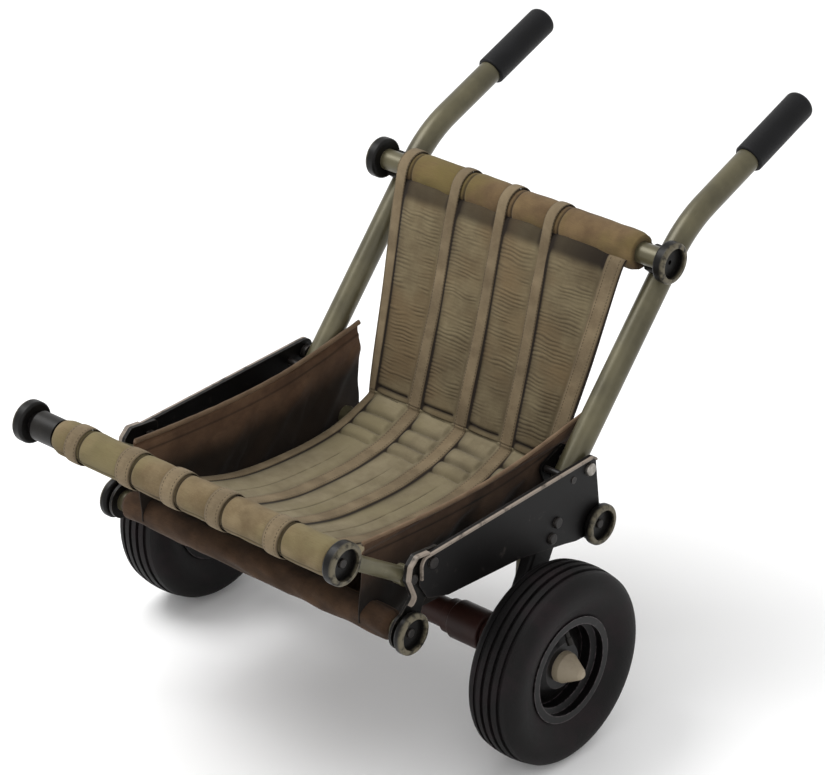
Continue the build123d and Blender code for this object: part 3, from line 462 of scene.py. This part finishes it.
TYRE = rubber("tyre_rubber", (0.0035, 0.003, 0.003), (0.010, 0.006, 0.007), 1.4 * MM, 0.62, 0.5, 0.16)
GRIP = rubber("grip_rubber", (0.0035, 0.0035, 0.004), (0.006, 0.006, 0.007), 1.1 * MM, 0.5, 0.6, 0.16)
ELBOW = rubber("elbow_plastic", (0.006, 0.005, 0.004), (0.014, 0.012, 0.010), 1.0 * MM, 0.42, 0.2, 0.2)
FOOT = rubber("foot_rubber", (0.008, 0.007, 0.007), (0.016, 0.014, 0.013), 1.0 * MM, 0.7, 0.3, 0.2)
HUB = rubber("hub_plastic", (0.245, 0.205, 0.145), (0.150, 0.115, 0.080), 2.2 * MM, 0.5, 0.12, 0.3)
# strong edge wear: worn edges which, on the rim's lip, also serve as a painted highlight
RIM = painted("rim_paint", (0.0035, 0.003, 0.003), 0.34, 0.8, (0.11, 0.09, 0.095), 0.1, specular=0.2)
ZINC = plated("zinc_plate", (0.42, 0.39, 0.35))
STEEL = plated("turned_steel", (0.40, 0.38, 0.35), 0.28)
DARK_BOLTS = painted("blacked_bolts", (0.012, 0.010, 0.009), 0.40, 0.5, (0.16, 0.14, 0.12), specular=0.25)

for name in ("lower_front_tube", "lower_rear_tube", "upper_tube", "handle_tube_right",
             "handle_tube_left", "stand_legs", "stand_crossbar"):
    paint_node(name, TUBE_PAINT)
for name in ("roller_tube", "hinge_cheeks", "axle_leg_right", "axle_leg_left", "stand_stops"):
    paint_node(name, BLACK_PAINT)
for name in ("axle_tube", "axle_collars"):
    paint_node(name, AXLE_PAINT)
for name in ("side_plate_right", "side_plate_left"):
    paint_node(name, PLATE_PAINT)
for name in ("front_bracket_right", "front_bracket_left"):
    paint_node(name, BRACKET_PAINT)
for name in ("pivot_bolts", "upper_bolts", "axle_nuts"):
    paint_node(name, ZINC)
for name in ("frame_bolts", "lock_nuts", "pivot_spacers", "handle_stops", "axle_spacers", "lower_cap_bolts",
             "roller_cap_bolts"):
    paint_node(name, DARK_BOLTS)
for name in ("axle_rod", "bearings_right", "bearings_left"):
    paint_node(name, STEEL)
for name in ("axle_bushes", "saddles", "valve_right", "valve_left"):
    paint_node(name, ELBOW)
for side in ("right", "left"):
    paint_node(f"tyre_{side}", TYRE)
    paint_node(f"rim_{side}", RIM)
    paint_node(f"hub_{side}", HUB)
paint_node("grips", GRIP)
paint_node("stand_feet", FOOT)
paint_node("front_arms", ARM_PAINT)
paint_node("arm_sockets", ELBOW)
# each cap's light rim is partly its olive paint and partly painted highlight, and its near-black recess is
# painted shade
for name in ("lower_caps", "roller_caps", "upper_caps"):
    face_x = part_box(name)[1].x
    paint_node(name, end_cap_paint(f"{name}_paint", face_x, (0.115, 0.100, 0.068), (0.005, 0.0045, 0.004)))


# ---------------------------------------------------------------- the sling
SEAT_LINE = [place(171, 279), place(164, 269), place(100, 247.5), place(12, 242.5), place(-94, 254.5),
             place(-200, 299), place(-306, 392)]
BACK_LINE = [place(171, 279), place(185, 318), place(216, 405), place(254, 526), place(268, 541)]
seat_line = smooth_line(SEAT_LINE, 420)
back_line = smooth_line(BACK_LINE, 300)
seat_length, back_length = length_of(seat_line), length_of(back_line)


def seat_half(run):
    """Half width of the seat cloth at a distance from the fold."""
    return FOLD_HALF + (SEAT_HALF_FRONT - FOLD_HALF) * run / seat_length


def back_half(run):
    """Half width of the back cloth at a distance from the fold."""
    return FOLD_HALF + (BACK_HALF_TOP - FOLD_HALF) * (run / back_length) ** 0.85


def strap_at(strap_table, share):
    """A strap's middle and its width where share runs from 0 at the fold to 1 at its bar."""
    fold_x, bar_x, fold_width, bar_width = (value * MM for value in strap_table)
    return fold_x + (bar_x - fold_x) * share, fold_width + (bar_width - fold_width) * share


def sling_sheet(name, line, half_of, relief, columns, material, upper_side):
    """A cloth panel along a line, its relief a height and a darkening for each place on it."""
    rows = len(line)
    total = length_of(line)
    run = np.linspace(0, total, rows)[:, None] * np.ones((1, columns))
    share = np.linspace(-1, 1, columns)[None, :] * np.ones((rows, 1))
    half = half_of(run)
    x = share * half
    height, shade = relief(x, run, half, total)
    normal = normals_of(line) * upper_side
    y = line[:, 0][:, None] + normal[:, 0][:, None] * height
    z = line[:, 1][:, None] + normal[:, 1][:, None] * height
    surface = np.stack([x, y, z], 2)
    if upper_side > 0:
        surface, run_uv = surface[:, ::-1], run[:, ::-1]
        x, shade = x[:, ::-1], shade[:, ::-1]
    else:
        run_uv = run
    made = shell(name, surface, np.stack([x, run_uv], 2), np.clip(shade, 0, 1))
    made.data.materials.append(material)
    return made


def beside_straps(x, share, straps_here):
    """Distance out of the nearest strap's edge, and 1 on each strap's right-hand side."""
    nearest = np.full(x.shape, 1.0)
    right_side = np.zeros(x.shape)
    for table in straps_here:
        centre, width = strap_at(table, share)
        off = x - centre
        gap = np.abs(off) - width / 2
        right_side = np.where(gap < nearest, (off > 0).astype(float), right_side)
        nearest = np.minimum(nearest, gap)
    return np.clip(nearest, 0, None), right_side


def strap_shadow(gap, right_side):
    """Painted shadow along the straps' edges: a hard dark line on the right of each, a faint one on the
    left.
    """
    line = bump_at(gap, 1.2 * MM, 2.6 * MM) * (0.16 + 0.80 * right_side)
    return line + 0.22 * bump_at(gap, 4 * MM, 6 * MM) * right_side


def back_relief(x, run, half, total):
    """Gathered panels: fine short pleats between the straps, above a sewn seam near the fold."""
    gap, right_side = beside_straps(x, run / total, BACK_STRAPS)
    inside = ease(gap, 0.5 * MM, 7 * MM)
    wander = field(x, run, 9, 3.1) * 3 * MM + field(x * 0.7, run, 62, 9.2) * 1.7 * MM
    pleat = 0.5 + 0.5 * np.sin((run + wander) * 2 * pi / (5.0 * MM))
    sharp = pleat ** 1.6
    broken = ease(field(x * 0.9, run * 3.4, 34, 5.5), -0.5, 0.7)
    strength = (0.12 + 0.88 * broken) * inside
    ends = ease(run, 12 * MM, 24 * MM) * ease(total - run, 22 * MM, 44 * MM)
    puff = ease(gap, 0, 24 * MM) * 2.2 * MM
    seam = bump_at(run - 1.2 * MM * field(x, run, 14, 8.8), 8 * MM, 2.8 * MM) * inside
    height = puff + strength * ends * sharp * 1.1 * MM - seam * 3.4 * MM
    height += field(x, run, 9, 1.7) * 1.3 * MM * inside
    # painted shade in the pleats' valleys and along the straps' edges; the seam is darker, and gloom is
    # patchy darkening that grows towards the right
    valley = (1 - sharp) ** 2.2 * strength * ends
    gloom = np.clip(field(x, run, 6, 12.5), 0, 1) * 0.22 + 0.10 * ease(x, 20 * MM, 120 * MM)
    shade = 0.34 * valley + strap_shadow(gap, right_side) + 0.95 * seam + gloom
    # painted shadow at the top end, where the cloth runs under the upper pad
    shade = shade + 0.7 * ease(run, total - 34 * MM, total - 20 * MM)
    return height, shade


# each crease: its distance from the fold, its width in millimetres and the strength of the painted shade in
# it
SEAT_CREASES = ((0.0, 3.6, 0.85), (33 * MM, 4.6, 0.50), (60 * MM, 4.2, 0.42), (83 * MM, 3.4, 0.16))


def seat_relief(x, run, half, total):
    """Padded channels across the cloth next to the fold, then smooth cloth with a few long ripples."""
    gap, right_side = beside_straps(x, run / total, SEAT_STRAPS)
    inside = ease(gap, 0.5 * MM, 7 * MM)
    height = ease(gap, 0, 24 * MM) * 1.6 * MM
    shade = np.zeros(x.shape)
    for i, (at, wide, dark) in enumerate(SEAT_CREASES):
        line = bump_at(run + 2.5 * MM * field(x, run, 16, 2.0 + i), at, wide * MM) * inside
        height -= line * 3.4 * MM
        # painted shade in each crease
        shade += line * dark * (0.75 + 0.35 * field(x, run, 24, 3.0 + i))
    pillow = np.zeros(x.shape)
    for (low, _, _), (high, _, _) in zip(SEAT_CREASES[:-1], SEAT_CREASES[1:]):
        t = np.clip((run - low) / (high - low), 0, 1)
        pillow += np.sin(pi * t) * (run > low) * (run < high)
    height += pillow * inside * 3.6 * MM
    ripple = ease(run, 60 * MM, 120 * MM) * inside
    height += field(x * 2.2, run * 0.5, 14, 7.7) * 1.3 * MM * ripple
    shade += np.clip(field(x * 2.4, run * 0.6, 12, 4.1), 0, 1) * 0.14 * ripple
    shade += strap_shadow(gap, right_side) * ease(run, 0, 25 * MM)
    for near, far in zip(SEAT_STRAPS[:-1], SEAT_STRAPS[1:]):
        between = (strap_at(near, run / total)[0] + strap_at(far, run / total)[0]) / 2
        line = bump_at(x - between - 8 * MM, 0, 1.0 * MM) * ease(run, 95 * MM, 130 * MM)
        broken = ease(field(x, run, 55, 6.3), -0.9, -0.1)
        height -= line * 0.9 * MM
        shade += 0.6 * line * broken
    # painted shadow at the front end, where the cloth runs under the roller pad
    shade += 0.7 * ease(run, total - 26 * MM, total - 6 * MM)
    return height, shade


seat_cloth = sling_sheet("seat_cloth", seat_line, seat_half, seat_relief, 321, SEAT_LIT, -1)
back_cloth = sling_sheet("back_cloth", back_line, back_half, back_relief, 321, SLING, 1)


# ---------------------------------------------------------------- webbing straps
def strap_ring(centre_x, y, z, normal, width, thickness, crown):
    """Points round a strap's section: a crowned top with rounded edges and a flat back."""
    ring = []
    shape = [(-0.5, 0.25), (-0.47, 0.75), (-0.38, 0.95), (-0.2, 1.0), (0, 1.0), (0.2, 1.0), (0.38, 0.95),
             (0.47, 0.75), (0.5, 0.25), (0.46, 0.0), (0.2, 0.0), (-0.2, 0.0), (-0.46, 0.0)]
    for across, up in shape:
        lift = up * thickness + (crown * (1 - 4 * across * across) if up > 0.5 else 0)
        ring.append((centre_x + across * width, y + normal[0] * lift, z + normal[1] * lift))
    return ring, [(across * width, up) for across, up in shape]


def strap(name, line, centres, widths, side, seed):
    """A webbing strap along a line, lying on its given side, with a slightly uneven run."""
    normal = normals_of(line) * side
    run = run_along(line)
    rings, uvs, shade = [], [], []
    for i, (y, z) in enumerate(line):
        drift = noise.noise(Vector((run[i] * 14, seed, 0.3))) * 1.1 * MM
        raise_by = STRAP_LIFT + noise.noise(Vector((run[i] * 30, seed, 4.7))) * 0.5 * MM
        ring, across = strap_ring(centres[i] + drift, y + normal[i][0] * raise_by,
                                  z + normal[i][1] * raise_by, normal[i], widths[i], WEB_T, 0.4 * MM)
        rings.append(ring)
        uvs.append([(a, run[i]) for a, _ in across])
        grime = 0.12 + 0.25 * noise.noise(Vector((run[i] * 22, seed, 8.1)))
        shade.append([max(0.0, grime) if up > 0.9 else 0.5 for _, up in across])
    made = swept_solid(name, np.array(rings), np.array(uvs), np.array(shade))
    made.data.materials.append(STRAP)
    return made


def tangent_angle(centre, radius, point, turn):
    """The angle on a circle where a line from the point touches it, on the side that turn picks."""
    away = atan2(point[1] - centre[1], point[0] - centre[0])
    spread = np.arccos(radius / hypot(point[0] - centre[0], point[1] - centre[1]))
    return degrees(away + turn * spread)


def onto_bar(line, leave_at, centre, radius, turn, sweep):
    """The line up to a point, then straight to the bar and round it."""
    kept = line[:int(leave_at * len(line))]
    touch = tangent_angle(centre, radius, kept[-1], turn)
    round_bar = arc(centre, radius, touch, touch + turn * sweep, 90)
    whole = np.concatenate([kept, even(np.array([kept[-1], round_bar[0]]), 12)[1:-1], round_bar])
    return even(whole, int(length_of(whole) / (2.2 * MM)))


seat_strap_line = onto_bar(seat_line, 0.80, ROLLER, ROLLER_PAD_R - 0.3 * MM, 1, 318)
back_strap_line = onto_bar(back_line, 0.72, UPPER, UPPER_PAD_R - 0.3 * MM, -1, 318)


def along_strap(line, strap_table, total):
    """The strap's middle and width at each point: along the cloth, then straight round its bar."""
    return strap_at(strap_table, np.minimum(run_along(line) / total, 1))


for number, table in enumerate(SEAT_STRAPS, 1):
    made = strap(f"seat_strap_{number}", seat_strap_line, *along_strap(seat_strap_line, table, seat_length),
                 -1, number - 2.5)
    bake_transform(made)
for number, table in enumerate(BACK_STRAPS, 1):
    line = back_strap_line if number < 5 else back_line
    made = strap(f"back_strap_{number}", line, *along_strap(line, table, back_length), 1, number + 6.5)
    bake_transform(made)


# ---------------------------------------------------------------- padded sleeves round the bars
def padded_sleeve(name, centre, radius, ends, strap_places, seam_angles, seed, material):
    """Padding sewn round a bar: full between the straps, nipped under them, with lengthwise seams."""
    turns, stations = 96, 210
    x = np.linspace(*ends, stations)
    outer = np.ones(stations)
    for at in strap_places:
        outer -= 0.085 * bump_at(x, at, 12 * MM)
        outer -= 0.10 * bump_at(x, at + 13.2 * MM, 1.5 * MM)
    for end in ends:
        outer -= 0.10 * bump_at(x, end, 5 * MM)
    profile_x = np.concatenate([[ends[0]], x, [ends[1]], x[::-30]])
    rings = []
    shade = []
    uvs = []
    for i, px in enumerate(profile_x):
        on_top = 1 <= i <= stations
        angles = np.linspace(0, 2 * pi, turns, endpoint=False)
        if on_top:
            r = radius * outer[i - 1]
            wrinkle = np.array([noise.noise(Vector((px * 42, cos(a) * 1.6, sin(a) * 1.6 + seed)))
                                for a in angles]) * 0.9 * MM
            seam = sum(bump_at(np.degrees(angles), s % 360, 2.4) for s in seam_angles)
            r_all = r + wrinkle - seam * 1.5 * MM
            # painted shadow in the slot beside each strap and painted shade on the lower half; the seams and
            # the raised wrinkles are darker too
            dark = 0.55 * seam + 0.9 * sum(bump_at(px, at + 13.2 * MM, 1.6 * MM) for at in strap_places)
            dark = dark + 0.35 * np.clip(-np.sin(angles), 0, 1) + np.clip(wrinkle / MM, 0, 1) * 0.25
        else:
            r_all = np.full(turns, BAR_R + 0.3 * MM)
            dark = np.full(turns, 0.6)
        rings.append(np.stack([np.full(turns, px), centre[0] + r_all * np.cos(angles),
                               centre[1] + r_all * np.sin(angles)], 1))
        uvs.append(np.stack([np.full(turns, px), angles * radius], 1))
        shade.append(np.clip(dark * np.ones(turns), 0, 1))
    made = ring_solid(name, np.array(rings), np.array(uvs), np.array(shade))
    made.data.materials.append(material)
    return made


roller_straps = [table[1] * MM for table in SEAT_STRAPS]
upper_straps = [table[1] * MM for table in BACK_STRAPS[:-1]]
roller_pad = padded_sleeve("roller_pad", ROLLER, ROLLER_PAD_R, (-200 * MM, 246 * MM), roller_straps,
                           (205, 262), 1.3, PAD_FRONT)
upper_pad = padded_sleeve("upper_pad", UPPER, UPPER_PAD_R, (-194 * MM, 194 * MM), upper_straps,
                          (20, 250), 6.1, PAD)
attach(roller_pad, "front_bar")
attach(upper_pad, "handles")
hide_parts("roller_sleeve")
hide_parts("upper_sleeve")


# ---------------------------------------------------------------- the bag under the sling
HEM_TOP = [place(-222, 347), place(-160, 342), place(-60, 337), place(30, 338), place(104, 346),
           place(186, 359)]
BAG_BOTTOM = [place(-222, 236), place(-160, 214), place(-60, 208), place(30, 208), place(104, 213),
              place(176, 226)]
BAG_LOW_X = 181.5 * MM
BAG_TOP_X = 190.5 * MM
HEM_DEPTH = 17 * MM


def side_panel(side):
    """One side of the bag: hung from its hem, with slanting folds and a seam along under the hem.

    The surface is the face towards the bag's inside, and the shell's other face is the outside.
    """
    rows, columns = 90, 230
    top = smooth_line(HEM_TOP, columns)
    bottom = smooth_line(BAG_BOTTOM, columns)
    down = np.linspace(0, 1, rows)[:, None] * np.ones((1, columns))
    y = top[:, 0][None, :] * (1 - down) + bottom[:, 0][None, :] * down
    z = top[:, 1][None, :] * (1 - down) + bottom[:, 1][None, :] * down
    fall = down * (top[:, 1] - bottom[:, 1])[None, :]
    lean = BAG_TOP_X + (BAG_LOW_X - BAG_TOP_X) * down
    loose = ease(fall, HEM_DEPTH, HEM_DEPTH + 22 * MM) * ease(1 - down, 0, 0.2)
    back = y - AXLE_Y
    folds = np.zeros(y.shape)
    for at, slant, wide, deep in ((-118, 0.9, 15, 3.2), (-60, 1.1, 18, -4.2), (-8, 0.8, 13, 3.4),
                                  (38, 1.2, 17, -3.6), (92, 0.7, 14, 2.8), (140, 0.9, 12, -2.6)):
        folds += deep * MM * bump_at(back - slant * (z - 0.28), at * MM, wide * MM)
    folds += field(y, z, 16, 4.0 + side) * 2.4 * MM + field(y, z, 42, 8.0) * 0.8 * MM
    seam = bump_at(fall, HEM_DEPTH, 1.3 * MM)
    roll = np.sqrt(np.clip(1 - ((fall - HEM_DEPTH / 2) / (HEM_DEPTH / 2)) ** 2, 0, 1)) * 2.2 * MM
    x = lean + folds * loose + roll * (fall < HEM_DEPTH) - seam * 0.7 * MM
    x = np.clip(x, 176 * MM, 187.6 * MM + 6 * MM * ease(z, 332 * MM, 344 * MM))
    surface = np.stack([side * x, y, z], 2)
    # painted shade: the inside face darkens from below the hem downwards, with patchy darkening; the outside
    # face is darker overall, and darker still lower down and in the folds' hollows; both darken along the
    # seam under the hem
    shade = 0.6 * seam + 0.9 * ease(down, 0.16, 0.5) + 0.25 * np.clip(field(y, z, 9, 2.2), 0, 1)
    hollow = ease(down, 0.14, 0.62) * (0.75 + 0.45 * field(y * 1.3, z * 0.8, 8, 3.9))
    outside = 0.40 + 0.45 * seam + hollow + 0.25 * np.clip(-folds / (4 * MM), 0, 1)
    uv = np.stack([y, z], 2)
    if side < 0:
        surface, shade, outside, uv = surface[:, ::-1], shade[:, ::-1], outside[:, ::-1], uv[:, ::-1]
    made = shell(f"bag_panel_{'right' if side > 0 else 'left'}", surface, uv, np.clip(shade, 0, 0.95),
                 1.6 * MM, np.clip(outside, 0, 0.97))
    made.data.materials.append(BAG)
    return made


def hem_cord(side):
    """The rolled top edge of a bag side."""
    line = smooth_line(HEM_TOP, 160)
    normal = normals_of(line)
    rings, uvs, shade = [], [], []
    around = np.linspace(0, 2 * pi, 16, endpoint=False)
    run = np.linspace(0, length_of(line), len(line))
    for i, (y, z) in enumerate(line):
        puff = 1 + 0.12 * noise.noise(Vector((run[i] * 60, side, 2.0)))
        out = BAG_TOP_X - 0.6 * MM + 2.7 * MM * puff * np.cos(around)
        up = 3.4 * MM * puff * np.sin(around)
        rings.append(np.stack([side * out, y + normal[i][0] * up, z + normal[i][1] * up], 1))
        uvs.append(np.stack([around * 3 * MM, np.full(16, run[i])], 1))
        # painted shade on the cord's underside
        shade.append(np.clip(-np.sin(around), 0, 1) * 0.5)
    rings = np.array(rings)
    if side < 0:
        rings = rings[:, ::-1]
    made = swept_solid(f"bag_hem_{'right' if side > 0 else 'left'}", rings, np.array(uvs), np.array(shade))
    made.data.materials.append(HEM_LIT)
    return made


FLOOR_LINE = [place(-186, 226), place(-150, 214), place(-100, 208.5), place(-26, 205.5), place(60, 206.5),
              place(118, 212), place(136, 222)]


def bag_base():
    """The bag's floor, slung between the two lower tubes, with soft hollows in it."""
    rows, columns = 150, 120
    line = smooth_line(FLOOR_LINE, rows)
    share = np.linspace(-1, 1, columns)[None, :] * np.ones((rows, 1))
    y = line[:, 0][:, None] * np.ones((1, columns))
    x = share * BAG_LOW_X
    z = line[:, 1][:, None] + field(x, y, 11, 6.6) * 3.0 * MM + field(x, y, 34, 2.6) * 0.8 * MM
    z = z + 2 * MM * ease(np.abs(share), 0.9, 1.0)
    surface = np.stack([x, y, z], 2)[::-1]
    shade = (0.4 + 0.3 * np.clip(field(x, y, 8, 1.2), 0, 1))[::-1]
    made = shell("bag_base", surface, np.stack([x, y], 2)[::-1], shade, 1.6 * MM)
    made.data.materials.append(BAG)
    return made


def wrapped_tube(name, centre, half, radius, seed):
    """Cloth wrapped and stitched round a lower tube: loose, with slanting creases."""
    turns, stations = 72, 190
    x = np.linspace(-half, half, stations)
    angles = np.linspace(0, 2 * pi, turns, endpoint=False)
    rings, uvs, shade = [], [], []
    profile = np.concatenate([[-half], x, [half], x[::-38]])
    for i, px in enumerate(profile):
        if 1 <= i <= stations:
            crease = np.array([noise.noise(Vector((px * 26 + sin(a) * 0.7, cos(a) * 1.2,
                                                   sin(a) * 1.2 + seed))) for a in angles])
            ends = ease(half - abs(px), 0, 8 * MM)
            seam = bump_at(np.degrees(angles), 75, 3.5)
            r = BAR_R + 0.6 * MM + (radius - BAR_R) * ends + crease * 2.0 * MM * ends - seam * 1.2 * MM
            # darker along the seam, with painted shade in the creases' hollows
            dark = 0.5 * seam + 0.35 * np.clip(-crease * 2, 0, 1)
        else:
            r = np.full(turns, BAR_R + 0.25 * MM)
            dark = np.full(turns, 0.6)
        rings.append(np.stack([np.full(turns, px), centre[0] + r * np.cos(angles),
                               centre[1] + r * np.sin(angles)], 1))
        uvs.append(np.stack([np.full(turns, px), angles * radius], 1))
        shade.append(np.clip(dark, 0, 1))
    made = ring_solid(name, np.array(rings), np.array(uvs), np.array(shade))
    made.data.materials.append(WRAP)
    return made


front_wrap = wrapped_tube("front_wrap", FRONT_TUBE, 225 * MM, 18.4 * MM, 2.0)
rear_wrap = wrapped_tube("rear_wrap", REAR_TUBE, 105 * MM, 17.6 * MM, 5.0)
base = bag_base()
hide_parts("bag_floor")
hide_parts("tube_sleeves")
for piece in (base, front_wrap, rear_wrap):
    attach(piece, "chassis")
for side, label in ((1, "right"), (-1, "left")):
    panel, hem = side_panel(side), hem_cord(side)
    for piece in (panel, hem):
        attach(piece, "chassis")
    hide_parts(f"bag_side_{label}")

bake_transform(seat_cloth)
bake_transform(back_cloth)
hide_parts("seat_sling")
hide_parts("back_sling")
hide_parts("seat_webbing", "roller_loops")
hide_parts("back_webbing", "upper_loops")


# ---------------------------------------------------------------- stage, light and camera
def flat_material(name, colour, roughness):
    material, _, surface = tree_of(name)
    surface.inputs["Base Color"].default_value = (*colour, 1)
    surface.inputs["Roughness"].default_value = roughness
    surface.inputs["Specular IOR Level"].default_value = 0.1
    return material


FLOOR_HALF = 12.0
floor_mesh = bpy.data.meshes.new("floor")
floor_mesh.from_pydata([(-FLOOR_HALF, -FLOOR_HALF, 0), (FLOOR_HALF, -FLOOR_HALF, 0),
                        (FLOOR_HALF, FLOOR_HALF, 0), (-FLOOR_HALF, FLOOR_HALF, 0)], [], [(0, 1, 2, 3)])
floor_mesh.materials.append(flat_material("floor_paper", (0.93, 0.93, 0.93), 0.9))
floor = bpy.data.objects.new("floor", floor_mesh)
bpy.context.scene.collection.objects.link(floor)

world = bpy.data.worlds.new("studio")
world.use_nodes = True
world.node_tree.nodes["Background"].inputs["Color"].default_value = (1, 1, 1, 1)
world.node_tree.nodes["Background"].inputs["Strength"].default_value = 0.95
bpy.context.scene.world = world


def softbox(name, position, target, size, power):
    """A square soft light that faces a point."""
    light = bpy.data.lights.new(name, "AREA")
    light.shape = "SQUARE"
    light.size = size
    light.energy = power
    made = bpy.data.objects.new(name, light)
    made.location = position
    made.rotation_mode = "QUATERNION"
    made.rotation_quaternion = (Vector(target) - Vector(position)).to_track_quat("-Z", "Y")
    bpy.context.scene.collection.objects.link(made)
    return made


CENTRE = (0, 0, 0.25)
softbox("key", (-1.5, -0.9, 3.0), CENTRE, 1.8, 75)
softbox("fill", (2.6, -2.6, 1.9), CENTRE, 2.2, 14)

VIEW_AZIMUTH = radians(41.787)
VIEW_ELEVATION = radians(27.563)
camera_data = bpy.data.cameras.new("camera")
camera_data.sensor_width = 36
camera_data.lens = 161.9
camera_data.clip_end = 60
camera = bpy.data.objects.new("camera", camera_data)
camera.location = (2.7427, -3.1058, 2.5193)
look = Vector((-sin(VIEW_AZIMUTH) * cos(VIEW_ELEVATION), cos(VIEW_AZIMUTH) * cos(VIEW_ELEVATION),
               -sin(VIEW_ELEVATION)))
camera.rotation_mode = "QUATERNION"
camera.rotation_quaternion = look.to_track_quat("-Z", "Y")
bpy.context.scene.collection.objects.link(camera)
bpy.context.scene.camera = camera
bpy.context.scene.view_settings.view_transform = "Standard"
